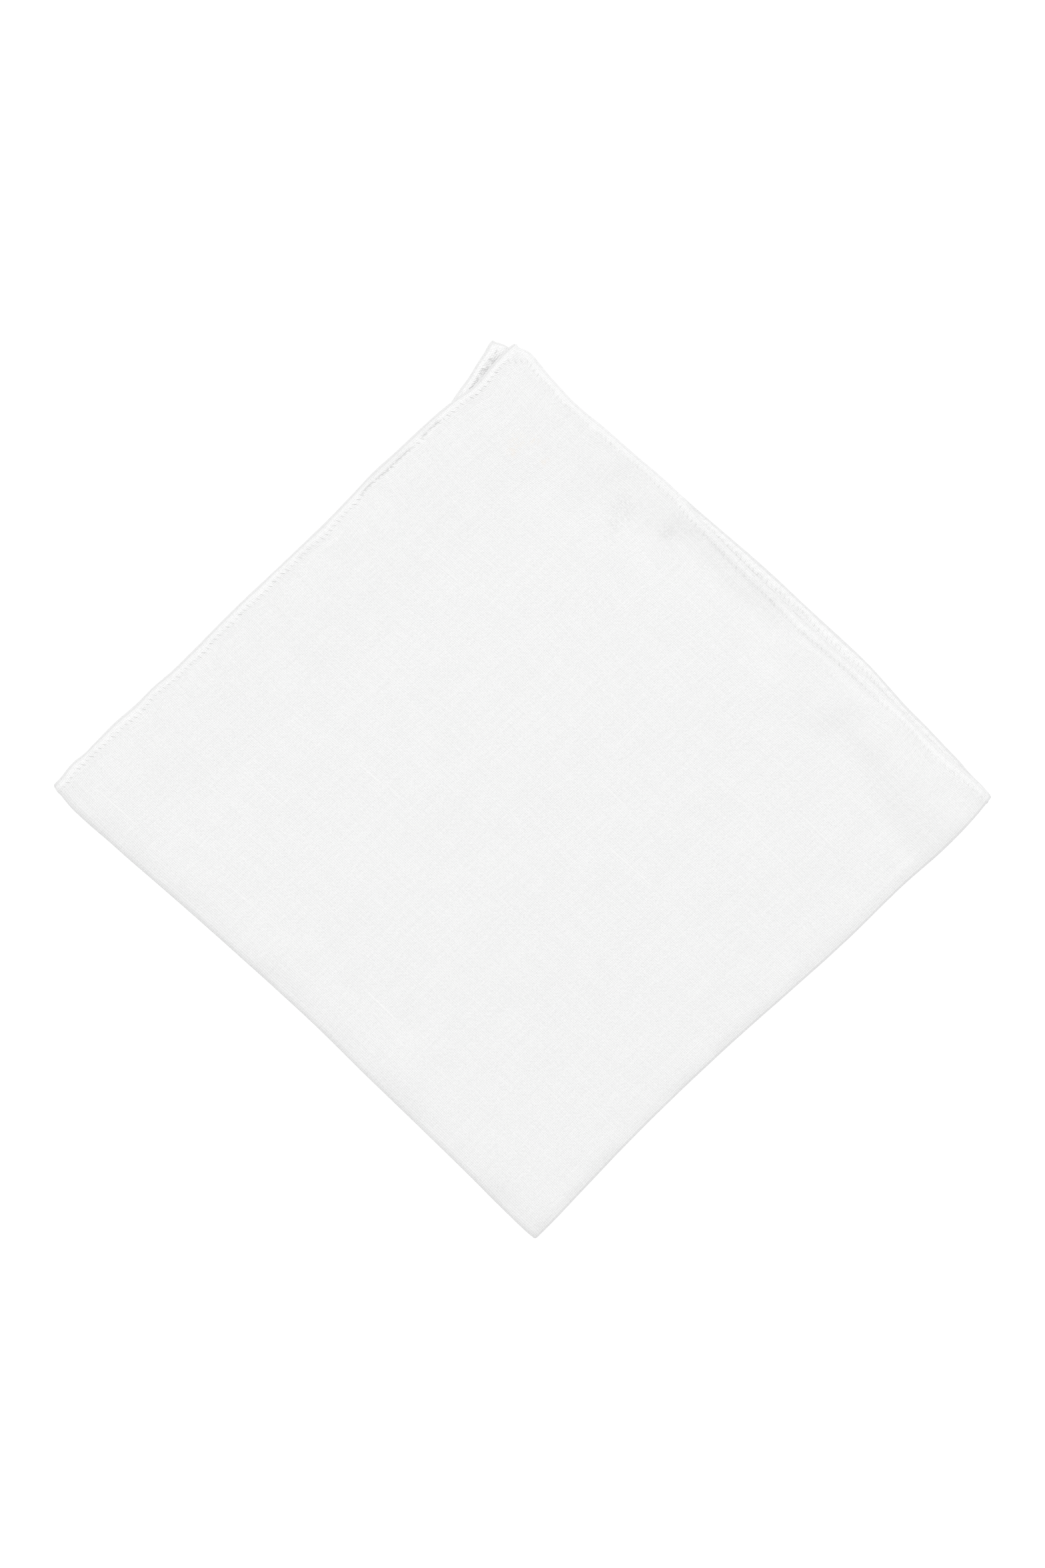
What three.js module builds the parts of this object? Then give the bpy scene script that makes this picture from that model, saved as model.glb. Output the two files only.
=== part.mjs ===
import * as THREE from 'three';
import { mergeVertices } from 'three/addons/utils/BufferGeometryUtils.js';

// Pocket square: one square of white linen with a rolled hem, folded in half and in half again.
// Millimetres. X runs to the right and Y towards the four loose corners, with +Z up.
// The first fold becomes the lower right side and the second fold the lower left side.

// The sheet, and the room that each layer takes in the pile
const SHEET_THICKNESS = 1.0;
const LAYER_PITCH = 1.4;
const HEM_PITCH = 1.9;

// The pile thins out from the thick hems inwards, faster from the upper right one
const LOFT_FROM = 3;
const UPPER_LEFT_LOFT_TO = 40;
const UPPER_RIGHT_LOFT_TO = 27;

// The rolled hem, from its free edge inwards
const HEM_ROLL = [
  { inward: 0, thickness: 0.75 },
  { inward: 0.35, thickness: 1.25 },
  { inward: 1.1, thickness: 1.5 },
  { inward: 1.9, thickness: 1.4 },
  { inward: 2.8, thickness: SHEET_THICKNESS },
];
const CORNER_ROUNDING = 4.2;

// Corners of the folded pile; the centre of the cloth is where the two folds cross
const FOLDED_CENTRE = new THREE.Vector2(0, -0.6);
const LEFT_CORNER = new THREE.Vector2(-122.8, 115.3);
const RIGHT_CORNER = new THREE.Vector2(116.4, 112.5);

// Folded sides: how far each stands out from its straight line, from the centre to the corner
const LOWER_LEFT_SIDE = [
  { along: 0, outward: 0 },
  { along: 0.04, outward: 0.15 },
  { along: 0.08, outward: 0.1 },
  { along: 0.13, outward: -0.4 },
  { along: 0.24, outward: -0.7 },
  { along: 0.36, outward: -0.7 },
  { along: 0.48, outward: -1.15 },
  { along: 0.64, outward: -0.7 },
  { along: 0.76, outward: -0.15 },
  { along: 0.84, outward: 0.4 },
  { along: 0.92, outward: 1.35 },
  { along: 0.96, outward: 1.55 },
  { along: 1, outward: 0 },
];
const LOWER_RIGHT_SIDE = [
  { along: 0, outward: 0 },
  { along: 0.04, outward: -0.15 },
  { along: 0.13, outward: -0.75 },
  { along: 0.21, outward: -1.25 },
  { along: 0.3, outward: -1.4 },
  { along: 0.44, outward: -1 },
  { along: 0.54, outward: -0.25 },
  { along: 0.67, outward: 0.6 },
  { along: 0.8, outward: 0.6 },
  { along: 0.88, outward: 1.2 },
  { along: 0.93, outward: 1.1 },
  { along: 0.965, outward: 0.7 },
  { along: 1, outward: 0 },
];

// The four layers: where each loose corner lies, and the hemmed sides that lead to it, each from
// its folded corner. The second layer shows past the front one.
const LAYERS = {
  front: {
    looseCorner: new THREE.Vector2(-5.5, 229.3),
    upperLeft: [
      { along: 0, outward: 0 },
      { along: 0.04, outward: 0.6 },
      { along: 0.085, outward: 0.3 },
      { along: 0.125, outward: 0.48 },
      { along: 0.21, outward: 0.15 },
      { along: 0.29, outward: -0.2 },
      { along: 0.4, outward: 0.1 },
      { along: 0.5, outward: -0.1 },
      { along: 0.58, outward: -0.65 },
      { along: 0.64, outward: -1.9 },
      { along: 0.7, outward: -2.4 },
      { along: 0.8, outward: -2.25 },
      { along: 0.89, outward: -2.05 },
      { along: 0.96, outward: -1.05 },
      { along: 1, outward: 0 },
    ],
    upperRight: [
      { along: 0, outward: 0 },
      { along: 0.03, outward: -0.5 },
      { along: 0.06, outward: -0.75 },
      { along: 0.115, outward: -0.8 },
      { along: 0.19, outward: -0.4 },
      { along: 0.24, outward: -0.5 },
      { along: 0.35, outward: -1.3 },
      { along: 0.45, outward: -1.2 },
      { along: 0.54, outward: -1.05 },
      { along: 0.6, outward: -0.7 },
      { along: 0.67, outward: 0.5 },
      { along: 0.71, outward: 0.3 },
      { along: 0.76, outward: -0.2 },
      { along: 0.83, outward: -0.7 },
      { along: 0.89, outward: -0.75 },
      { along: 0.93, outward: -0.25 },
      { along: 0.96, outward: 0 },
      { along: 1, outward: 0 },
    ],
  },
  second: {
    looseCorner: new THREE.Vector2(-11.1, 230.6),
    upperLeft: [
      { along: 0, outward: 0 },
      { along: 0.04, outward: 0.1 },
      { along: 0.13, outward: -0.5 },
      { along: 0.21, outward: -1.2 },
      { along: 0.3, outward: -1.95 },
      { along: 0.38, outward: -2 },
      { along: 0.46, outward: -2.3 },
      { along: 0.55, outward: -2.7 },
      { along: 0.64, outward: -2.9 },
      { along: 0.72, outward: -3 },
      { along: 0.8, outward: -3.9 },
      { along: 0.865, outward: -4.35 },
      { along: 0.9, outward: -4 },
      { along: 0.93, outward: -3.3 },
      { along: 0.96, outward: -2.2 },
      { along: 1, outward: 0 },
    ],
    upperRight: [
      { along: 0, outward: 0 },
      { along: 0.03, outward: 0.3 },
      { along: 0.067, outward: 0.9 },
      { along: 0.106, outward: 1.65 },
      { along: 0.15, outward: 1.9 },
      { along: 0.2, outward: 2.45 },
      { along: 0.262, outward: 3.55 },
      { along: 0.34, outward: 3.65 },
      { along: 0.42, outward: 3.7 },
      { along: 0.5, outward: 3.65 },
      { along: 0.575, outward: 3.25 },
      { along: 0.65, outward: 2.5 },
      { along: 0.75, outward: 1.3 },
      { along: 0.88, outward: -0.2 },
      { along: 0.96, outward: -0.5 },
      { along: 1, outward: 0 },
    ],
  },
  third: {
    looseCorner: new THREE.Vector2(-8.6, 227.6),
    upperLeft: [
      { along: 0, outward: 0 },
      { along: 0.15, outward: -0.4 },
      { along: 0.5, outward: -1.9 },
      { along: 0.78, outward: -2.9 },
      { along: 0.92, outward: -2.1 },
      { along: 1, outward: 0 },
    ],
    upperRight: [
      { along: 0, outward: 0 },
      { along: 0.1, outward: 0.2 },
      { along: 0.35, outward: 1.6 },
      { along: 0.6, outward: 1.2 },
      { along: 0.85, outward: -0.6 },
      { along: 1, outward: 0 },
    ],
  },
  bottom: {
    looseCorner: new THREE.Vector2(-4.4, 226.4),
    upperLeft: [
      { along: 0, outward: 0 },
      { along: 0.12, outward: -0.3 },
      { along: 0.45, outward: -1.1 },
      { along: 0.75, outward: -2.3 },
      { along: 0.93, outward: -1.4 },
      { along: 1, outward: 0 },
    ],
    upperRight: [
      { along: 0, outward: 0 },
      { along: 0.15, outward: -0.9 },
      { along: 0.4, outward: -1.3 },
      { along: 0.7, outward: -0.6 },
      { along: 0.9, outward: -1.5 },
      { along: 1, outward: 0 },
    ],
  },
};

// Soft ridges in the pile: the height that each layer adds along a line between two places, each
// given by its distances from the first and from the second fold
const RIDGES = [
  { name: 'puffed right corner', start: [0, 143], end: [42, 153], spread: 9, rise: 0.3 },
  { name: 'upper right hem', start: [44, 157], end: [106, 157], spread: 9, rise: 0.16 },
  { name: 'upper left hem', start: [163, 96], end: [163, 130], spread: 8, rise: 0.08 },
  { name: 'middle', start: [70, 52], end: [104, 66], spread: 24, rise: 0.09 },
  { name: 'above the lower left fold', start: [66, 36], end: [92, 34], spread: 10, rise: 0.06 },
];

// The two folds: the radius of the middle of what each one bends, in layer pitches
const FIRST_FOLD_RADIUS = 0.5;
const SECOND_FOLD_RADIUS = 1;
const QUARTER_TURN = Math.PI / 2;
const FIRST_TURN_LENGTH = QUARTER_TURN * FIRST_FOLD_RADIUS * LAYER_PITCH;
const SECOND_TURN_LENGTH = QUARTER_TURN * SECOND_FOLD_RADIUS * LAYER_PITCH;

// Folded widths along the lower sides, and the half widths of the flat sheet that give them
const FOLDED_WIDTH = LEFT_CORNER.distanceTo(FOLDED_CENTRE);
const FOLDED_LENGTH = RIGHT_CORNER.distanceTo(FOLDED_CENTRE);
const HEM_EDGE_THICKNESS = HEM_ROLL[0].thickness;
const HALF_WIDTH = FOLDED_WIDTH - firstFoldReach(HEM_PITCH, HEM_EDGE_THICKNESS) + FIRST_TURN_LENGTH;
const HALF_LENGTH = FOLDED_LENGTH - pileMiddle(HEM_PITCH, HEM_EDGE_THICKNESS) + SECOND_TURN_LENGTH;

// Grid of the flat sheet: cells around a quarter turn of a fold, and cells across a plain quarter
const TURN_CELLS = 4;
const PLAIN_CELLS = 15;
const CELL_GRADING = 0.06;

// A side of one layer: the straight line between two corners, moved outwards by its rows
class Side {
  constructor(start, end, rows, outwardTurn) {
    this.start = start;
    this.chord = end.clone().sub(start);
    this.outward = new THREE.Vector2(-this.chord.y, this.chord.x).normalize().multiplyScalar(outwardTurn);
    const positions = rows.map((row) => row.along);
    const values = rows.map((row) => row.outward);
    this.offsets = new THREE.CubicInterpolant(positions, values, 1);
  }

  at(fraction) {
    const offset = this.offsets.evaluate(fraction)[0];
    return this.start.clone().addScaledVector(this.chord, fraction).addScaledVector(this.outward, offset);
  }
}

// One layer of the pile in plan: two shared folded sides, two hemmed sides of its own
class Layer {
  constructor({ looseCorner, upperLeft, upperRight }) {
    this.looseCorner = looseCorner;
    this.lowerLeft = new Side(FOLDED_CENTRE, LEFT_CORNER, LOWER_LEFT_SIDE, 1);
    this.lowerRight = new Side(FOLDED_CENTRE, RIGHT_CORNER, LOWER_RIGHT_SIDE, -1);
    this.upperLeft = new Side(LEFT_CORNER, looseCorner, upperLeft, 1);
    this.upperRight = new Side(RIGHT_CORNER, looseCorner, upperRight, -1);
  }

  // The place in plan at the shares of the way from the first fold and from the second fold
  place(fromFirst, fromSecond) {
    return new THREE.Vector2()
      .addScaledVector(this.lowerLeft.at(fromFirst), 1 - fromSecond)
      .addScaledVector(this.upperRight.at(fromFirst), fromSecond)
      .addScaledVector(this.lowerRight.at(fromSecond), 1 - fromFirst)
      .addScaledVector(this.upperLeft.at(fromSecond), fromFirst)
      .addScaledVector(FOLDED_CENTRE, -(1 - fromFirst) * (1 - fromSecond))
      .addScaledVector(LEFT_CORNER, -fromFirst * (1 - fromSecond))
      .addScaledVector(RIGHT_CORNER, -(1 - fromFirst) * fromSecond)
      .addScaledVector(this.looseCorner, -fromFirst * fromSecond);
  }
}

// How far the first fold's outer face stands from the middle of its turn
function firstFoldReach(pitch, thickness) {
  return FIRST_FOLD_RADIUS * pitch + thickness / 2;
}

// The height of the middle of the whole pile, which is also the second fold's outer radius
function pileMiddle(pitch, thickness) {
  return (FIRST_FOLD_RADIUS + SECOND_FOLD_RADIUS) * pitch + thickness / 2;
}

// Thickness of the sheet at a distance from its free edge
function hemThickness(inward) {
  const next = HEM_ROLL.findIndex((row) => row.inward >= inward);
  if (next === -1) return SHEET_THICKNESS;
  if (next === 0) return HEM_EDGE_THICKNESS;
  const [low, high] = [HEM_ROLL[next - 1], HEM_ROLL[next]];
  const share = (inward - low.inward) / (high.inward - low.inward);
  return THREE.MathUtils.lerp(low.thickness, high.thickness, share);
}

// What a soft ridge adds to the room for one layer
function ridgeRise({ start, end, spread, rise }, place) {
  const line = new THREE.Line3(new THREE.Vector3(...start, 0), new THREE.Vector3(...end, 0));
  const nearest = line.closestPointToPoint(place, true, new THREE.Vector3());
  const away = nearest.distanceTo(place) / spread;
  return rise * Math.exp(-away * away);
}

// Room for one layer: more towards the thick hems and on the soft ridges
function layerPitch(fromFirst, fromSecond) {
  const { smoothstep, lerp } = THREE.MathUtils;
  const plainLeft = smoothstep(HALF_WIDTH - fromFirst, LOFT_FROM, UPPER_LEFT_LOFT_TO);
  const plainRight = smoothstep(HALF_LENGTH - fromSecond, LOFT_FROM, UPPER_RIGHT_LOFT_TO);
  const place = new THREE.Vector3(fromFirst, fromSecond, 0);
  const ridges = RIDGES.reduce((sum, ridge) => sum + ridgeRise(ridge, place), 0);
  return lerp(HEM_PITCH, LAYER_PITCH, plainLeft * plainRight) + ridges;
}

// How far a strip has turned, and how much of it lies plain past the turn
function bend(distance, turnLength) {
  const share = THREE.MathUtils.clamp(distance / turnLength, -1, 1);
  return { angle: share * QUARTER_TURN, past: Math.max(Math.abs(distance) - turnLength, 0) };
}

// The loose corner of each layer is round: squares near it are drawn in to a quarter disc
function roundedCorner(fromFirst, fromSecond) {
  const near = (distance, reach) => Math.max(1 - (reach - distance) / CORNER_ROUNDING, 0);
  const across = near(fromFirst, FOLDED_WIDTH);
  const up = near(fromSecond, FOLDED_LENGTH);
  return {
    fromFirst: fromFirst - CORNER_ROUNDING * across * (1 - Math.sqrt(1 - (up * up) / 2)),
    fromSecond: fromSecond - CORNER_ROUNDING * up * (1 - Math.sqrt(1 - (across * across) / 2)),
  };
}

const layers = Object.fromEntries(
  Object.entries(LAYERS).map(([name, shape]) => [name, new Layer(shape)]),
);

// A point of the flat sheet, so far from each fold line and on its outer or inner face, folded
function foldedPoint(fromFirstLine, fromSecondLine, face) {
  const pitch = layerPitch(Math.abs(fromFirstLine), Math.abs(fromSecondLine));
  const freeEdge = Math.min(HALF_WIDTH - Math.abs(fromFirstLine), HALF_LENGTH - Math.abs(fromSecondLine));
  const thickness = hemThickness(freeEdge);

  const first = bend(fromFirstLine, FIRST_TURN_LENGTH);
  const firstRadius = FIRST_FOLD_RADIUS * pitch + face * thickness;
  const lift = firstRadius * Math.sin(first.angle);
  const acrossPile = firstFoldReach(pitch, thickness) - firstRadius * Math.cos(first.angle) + first.past;

  const second = bend(fromSecondLine, SECOND_TURN_LENGTH);
  const secondRadius = SECOND_FOLD_RADIUS * pitch + lift;
  const middle = pileMiddle(pitch, thickness);
  const upPile = middle - secondRadius * Math.cos(second.angle) + second.past;
  const height = middle + secondRadius * Math.sin(second.angle);

  const { fromFirst, fromSecond } = roundedCorner(acrossPile, upPile);
  const outer = (1 + Math.sin(first.angle)) / 2;
  const upper = (1 + Math.sin(second.angle)) / 2;
  const shares = {
    front: outer * upper,
    second: (1 - outer) * upper,
    third: (1 - outer) * (1 - upper),
    bottom: outer * (1 - upper),
  };
  const plan = new THREE.Vector2();
  for (const [name, layer] of Object.entries(layers)) {
    const place = layer.place(fromFirst / FOLDED_WIDTH, fromSecond / FOLDED_LENGTH);
    plan.addScaledVector(place, shares[name]);
  }
  return new THREE.Vector3(plan.x, plan.y, height);
}

// Distances from a fold line at which the sheet has a row of points, from one hem to the other
function stations(turnLength, halfWidth) {
  const turn = Array.from({ length: TURN_CELLS + 1 }, (_, i) => (turnLength * i) / TURN_CELLS);
  const hem = HEM_ROLL.map((row) => halfWidth - row.inward).reverse();
  const plain = Array.from({ length: PLAIN_CELLS - 1 }, (_, i) => {
    const share = (i + 1) / PLAIN_CELLS;
    const graded = share - CELL_GRADING * Math.sin(2 * Math.PI * share);
    return THREE.MathUtils.lerp(turnLength, hem[0], graded);
  });
  const half = [...turn, ...plain, ...hem];
  return [...half.slice(1).reverse().map((distance) => -distance), ...half];
}

// The cloth: a thin flat box with its rows moved to the stations, then folded
function makeCloth() {
  const rowsUp = stations(SECOND_TURN_LENGTH, HALF_LENGTH);
  const rowsAcross = stations(FIRST_TURN_LENGTH, HALF_WIDTH);
  const flat = new THREE.BoxGeometry(2, 2, 1, rowsUp.length - 1, rowsAcross.length - 1, 1);
  flat.deleteAttribute('normal');
  flat.deleteAttribute('uv');
  const cloth = mergeVertices(flat);
  const positions = cloth.getAttribute('position');
  const station = (rows, share) => rows[Math.round(((share + 1) / 2) * (rows.length - 1))];
  for (let i = 0; i < positions.count; i += 1) {
    const fromSecondLine = station(rowsUp, positions.getX(i));
    const fromFirstLine = station(rowsAcross, positions.getY(i));
    const { x, y, z } = foldedPoint(fromFirstLine, fromSecondLine, positions.getZ(i));
    positions.setXYZ(i, x, y, z);
  }
  cloth.computeBoundingBox();
  const { min, max } = cloth.boundingBox;
  cloth.translate(-(min.x + max.x) / 2, -(min.y + max.y) / 2, -min.z);
  cloth.computeVertexNormals();
  return cloth;
}

const linen = new THREE.MeshStandardMaterial({ color: 0xf4f4f3, roughness: 0.95, metalness: 0 });

const cloth = new THREE.Mesh(makeCloth(), linen);
cloth.name = 'folded_cloth';

const pocketSquare = new THREE.Group();
pocketSquare.add(cloth);

export default pocketSquare;
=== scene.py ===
"""The folded linen pocket square: one sheet in its four layers, with its hem stitches and its slubs.

The cloth is laid out flat, in millimetres from its two fold lines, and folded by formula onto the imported
frame. The first fold is the lower right side of the pile, the second the lower left side, and the four
hemmed corners lie together at the top. Blender's own units are metres.
"""

import logging
import math
from dataclasses import dataclass
from enum import Enum

import bpy
import numpy as np
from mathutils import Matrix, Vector


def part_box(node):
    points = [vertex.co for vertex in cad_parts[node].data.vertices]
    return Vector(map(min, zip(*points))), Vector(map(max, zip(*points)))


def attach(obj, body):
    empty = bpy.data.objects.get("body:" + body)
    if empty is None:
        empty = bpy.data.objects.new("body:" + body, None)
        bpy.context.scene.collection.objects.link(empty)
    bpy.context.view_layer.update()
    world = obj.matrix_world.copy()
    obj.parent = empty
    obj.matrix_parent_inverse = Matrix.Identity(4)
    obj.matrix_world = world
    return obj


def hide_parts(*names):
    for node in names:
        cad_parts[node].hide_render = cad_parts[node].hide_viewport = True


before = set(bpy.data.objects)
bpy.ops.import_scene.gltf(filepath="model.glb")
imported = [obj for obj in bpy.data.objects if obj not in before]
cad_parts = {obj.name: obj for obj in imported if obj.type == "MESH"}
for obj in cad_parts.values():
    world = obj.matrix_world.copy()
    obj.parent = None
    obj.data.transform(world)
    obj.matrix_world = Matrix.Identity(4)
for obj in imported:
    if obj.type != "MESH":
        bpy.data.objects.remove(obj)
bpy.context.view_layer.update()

CLOTH_NODE = "folded_cloth"
BODY = "root"
MM = 0.001
FACE_CORNERS = 4

Rows = tuple[tuple[float, float], ...]
Point = tuple[float, float]
Colour = tuple[float, float, float]

log = logging.getLogger("pocket_square")


class Layer(Enum):
    """The four layers of the pile, from the top down."""

    FRONT = "front"
    SECOND = "second"
    THIRD = "third"
    BOTTOM = "bottom"


class Yarn(Enum):
    """The two yarn directions of the linen: along the first fold line, or along the second."""

    WARP = "warp"
    WEFT = "weft"


class Face(Enum):
    """The two faces of the sheet, and on which side of its middle they stand."""

    OUTER = 1
    INNER = -1


# Corners of the folded pile, in millimetres; the centre of the cloth is where the two folds cross
FOLDED_CENTRE = (0.0, -0.6)
LEFT_CORNER = (-122.8, 115.3)
RIGHT_CORNER = (116.4, 112.5)
LOOSE_CORNERS = {
    Layer.FRONT: (-5.2, 227.5),
    Layer.SECOND: (-11, 228.6),
    Layer.THIRD: (-8.9, 225.4),
    Layer.BOTTOM: (-4.6, 224.8),
}

# Every row is (along, outward): the share of a side, and how far it stands out from its straight line
LOWER_LEFT_SIDE: Rows = (
    (0, 0), (0.02, 0.2), (0.04, 0.2), (0.08, 0.1), (0.13, -0.2), (0.24, -0.5), (0.3, -0.6), (0.36, -0.72),
    (0.46, -1.1), (0.52, -1.0), (0.64, -0.57), (0.7, -0.25), (0.76, 0.12), (0.84, 0.7), (0.88, 0.9),
    (0.93, 1.25), (0.96, 1.15), (0.98, 0.7), (0.99, 0.6), (1, 0),
)
LOWER_RIGHT_SIDE: Rows = (
    (0, 0), (0.04, -0.15), (0.13, -0.75), (0.21, -1.25), (0.3, -1.4), (0.44, -1), (0.54, -0.25),
    (0.67, 0.6), (0.8, 0.6), (0.88, 1.2), (0.93, 1.1), (0.965, 0.7), (1, 0),
)
UPPER_LEFT_SIDES: dict[Layer, Rows] = {
    Layer.FRONT: (
        (0, 0), (0.02, 0.12), (0.035, 0.5), (0.05, 0.65), (0.07, 0.3), (0.1, 0.5), (0.14, 0.66),
        (0.18, 0.32), (0.22, 0.46), (0.26, 0.1), (0.3, 0.2), (0.4, 0.62), (0.5, 0.52), (0.6, 0.6),
        (0.65, 0.93), (0.7, 1.38), (0.74, 1.17), (0.82, 1.0), (0.85, 0.72), (0.87, 0.35),
        (0.896, -0.38), (0.92, -0.35), (0.961, 0.37), (0.9875, 0.47), (0.995, 0.3), (1, 0),
    ),
    Layer.SECOND: (
        (0, 0), (0.04, -0.2), (0.13, -0.8), (0.21, -1.5), (0.3, -2.1), (0.46, -2.4), (0.6, -2.9),
        (0.7, -2.9), (0.78, -3.5), (0.84, -3.85), (0.88, -3.64), (0.9, -3.05), (0.93, -2.35),
        (0.955, -1.4), (0.975, -0.75), (0.99, -0.1), (1, 0),
    ),
    Layer.THIRD: ((0, 0), (0.15, -0.2), (0.5, -1.2), (0.78, -1.85), (0.92, -1.2), (1, 0)),
    Layer.BOTTOM: ((0, 0), (0.12, -0.2), (0.45, -0.65), (0.75, -1.55), (0.93, -0.8), (1, 0)),
}
UPPER_RIGHT_SIDES: dict[Layer, Rows] = {
    Layer.FRONT: (
        (0, 0), (0.02, -0.05), (0.05, -0.15), (0.08, -0.45), (0.115, -0.6), (0.19, -0.19), (0.24, -0.24),
        (0.35, -0.92), (0.45, -0.71), (0.54, -0.46), (0.6, -0.04), (0.66, 1.1), (0.7, 1.14),
        (0.74, 0.76), (0.78, 0.51), (0.82, 0.2), (0.85, -0.2), (0.88, -0.3), (0.9, -0.04),
        (0.93, 0.34), (0.945, 0.72), (0.965, 1.1), (0.975, 1.02), (0.985, 0.5), (0.9905, 0.05),
        (0.994, 0.35), (1, 0),
    ),
    Layer.SECOND: (
        (0, 0), (0.01, 0.04), (0.03, 0.28), (0.05, 0.5), (0.07, 0.98), (0.1, 1.3), (0.14, 1.8),
        (0.18, 2.08), (0.22, 2.66), (0.26, 3.28), (0.3, 3.6), (0.35, 3.66), (0.4, 3.7), (0.45, 3.88),
        (0.5, 3.8), (0.55, 3.52), (0.6, 3.26), (0.66, 3.08), (0.75, 2.3), (0.88, 1.1), (0.96, 1.3),
        (0.975, 1.45), (0.985, 0.95), (0.993, 0.3), (1, 0),
    ),
    Layer.THIRD: ((0, 0), (0.1, 0.38), (0.35, 2.2), (0.6, 2.3), (0.85, 0.9), (1, 0)),
    Layer.BOTTOM: ((0, 0), (0.15, -0.7), (0.4, -0.8), (0.7, 0), (0.9, -0.5), (1, 0)),
}


def smoothstep(value: np.ndarray, low: float, high: float) -> np.ndarray:
    """Eases from 0 to 1.

    Args:
        value: The numbers to ease.
        low: Where the result leaves 0.
        high: Where the result reaches 1.

    Returns:
        The eased numbers.
    """
    share = np.clip((value - low) / (high - low), 0, 1)
    return share * share * (3 - 2 * share)


@dataclass(frozen=True)
class Side:
    """One side of a layer in plan: a straight line between two corners, moved outwards by its rows."""

    start: Point
    end: Point
    rows: Rows
    outward_turn: float

    def offset(self, share: np.ndarray) -> np.ndarray:
        """Reads how far the side stands out from its straight line, smoothly between the rows.

        Args:
            share: Shares of the way from the start to the end.

        Returns:
            The distances outwards.
        """
        along, outward = np.array(self.rows, float).T
        secants = np.diff(outward) / np.diff(along)
        slopes = np.concatenate((secants[:1], (secants[1:] + secants[:-1]) / 2, secants[-1:]))
        place = np.clip(share, 0, 1)
        row = np.clip(np.searchsorted(along, place) - 1, 0, len(along) - 2)
        step = along[row + 1] - along[row]
        part = (place - along[row]) / step
        rest = 1 - part
        level = outward[row] * (1 + 2 * part) * rest**2 + outward[row + 1] * part**2 * (3 - 2 * part)
        return level + step * part * rest * (slopes[row] * rest - slopes[row + 1] * part)

    def at(self, share: np.ndarray) -> np.ndarray:
        """Finds places on the side.

        Args:
            share: Shares of the way from the start to the end.

        Returns:
            One place in plan for each share.
        """
        chord = np.subtract(self.end, self.start)
        outward = np.array((-chord[1], chord[0])) * self.outward_turn / math.hypot(*chord)
        return self.start + share[:, None] * chord + self.offset(share)[:, None] * outward


@dataclass(frozen=True)
class LayerPlan:
    """One layer in plan, between two folded sides that all layers share and two hemmed ones of its own."""

    layer: Layer

    def place(self, from_first: np.ndarray, from_second: np.ndarray) -> np.ndarray:
        """Finds places in plan.

        Args:
            from_first: Shares of the way from the first fold to the upper left hem.
            from_second: Shares of the way from the second fold to the upper right hem.

        Returns:
            One place in plan for each pair of shares.
        """
        loose = LOOSE_CORNERS[self.layer]
        lower_left = Side(FOLDED_CENTRE, LEFT_CORNER, LOWER_LEFT_SIDE, 1)
        lower_right = Side(FOLDED_CENTRE, RIGHT_CORNER, LOWER_RIGHT_SIDE, -1)
        upper_left = Side(LEFT_CORNER, loose, UPPER_LEFT_SIDES[self.layer], 1)
        upper_right = Side(RIGHT_CORNER, loose, UPPER_RIGHT_SIDES[self.layer], -1)
        u, v = from_first[:, None], from_second[:, None]
        sides = (1 - v) * lower_left.at(from_first) + v * upper_right.at(from_first)
        sides += (1 - u) * lower_right.at(from_second) + u * upper_left.at(from_second)
        corners = (1 - u) * (1 - v) * FOLDED_CENTRE + u * (1 - v) * LEFT_CORNER
        return sides - corners - (1 - u) * v * RIGHT_CORNER - u * v * loose


@dataclass(frozen=True)
class Crease:
    """A soft ridge or trough along a line, whose ends are given by their distances from the two folds."""

    start: Point
    end: Point
    spread: float
    rise: float

    def height(self, from_first: np.ndarray, from_second: np.ndarray) -> np.ndarray:
        """Works out what the crease adds.

        Args:
            from_first: Distances from the first fold.
            from_second: Distances from the second fold.

        Returns:
            The height that it adds at each place.
        """
        line = np.subtract(self.end, self.start)
        across = np.stack((from_first, from_second), -1) - self.start
        share = np.clip(across @ line / (line @ line), 0, 1)
        away = np.linalg.norm(across - share[..., None] * line, axis=-1) / self.spread
        return self.rise * np.exp(-away * away)


@dataclass(frozen=True)
class Ripple:
    """Unevenness along a line: a few sine waves of drawn lengths and phases, mostly within 1."""

    shortest: float
    longest: float
    seed: int
    waves: int = 6

    def at(self, along: np.ndarray) -> np.ndarray:
        """Reads the unevenness.

        Args:
            along: Distances along the line.

        Returns:
            One number for each distance.
        """
        draw = np.random.default_rng(self.seed)
        lengths = np.exp(draw.uniform(math.log(self.shortest), math.log(self.longest), self.waves))
        phases = draw.uniform(0, math.tau, self.waves)
        waves = np.sin(math.tau * along[..., None] / lengths + phases)
        return waves.sum(-1) / math.sqrt(2 * self.waves)


@dataclass(frozen=True)
class Rumple:
    """Unevenness over the cloth: waves of drawn directions, lengths and phases, mostly within 1."""

    shortest: float
    longest: float
    seed: int
    waves: int = 26

    def at(self, across: np.ndarray, along: np.ndarray) -> np.ndarray:
        """Reads the unevenness.

        Args:
            across: Distances from one fold line.
            along: Distances from the other fold line.

        Returns:
            One number for each place.
        """
        draw = np.random.default_rng(self.seed)
        total = np.zeros_like(across)
        for _ in range(self.waves):
            length = math.exp(draw.uniform(math.log(self.shortest), math.log(self.longest)))
            direction, phase = draw.uniform(0, math.tau, 2)
            way = across * math.cos(direction) + along * math.sin(direction)
            total += np.sin(math.tau * way / length + phase)
        return total / math.sqrt(2 * self.waves)


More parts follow.
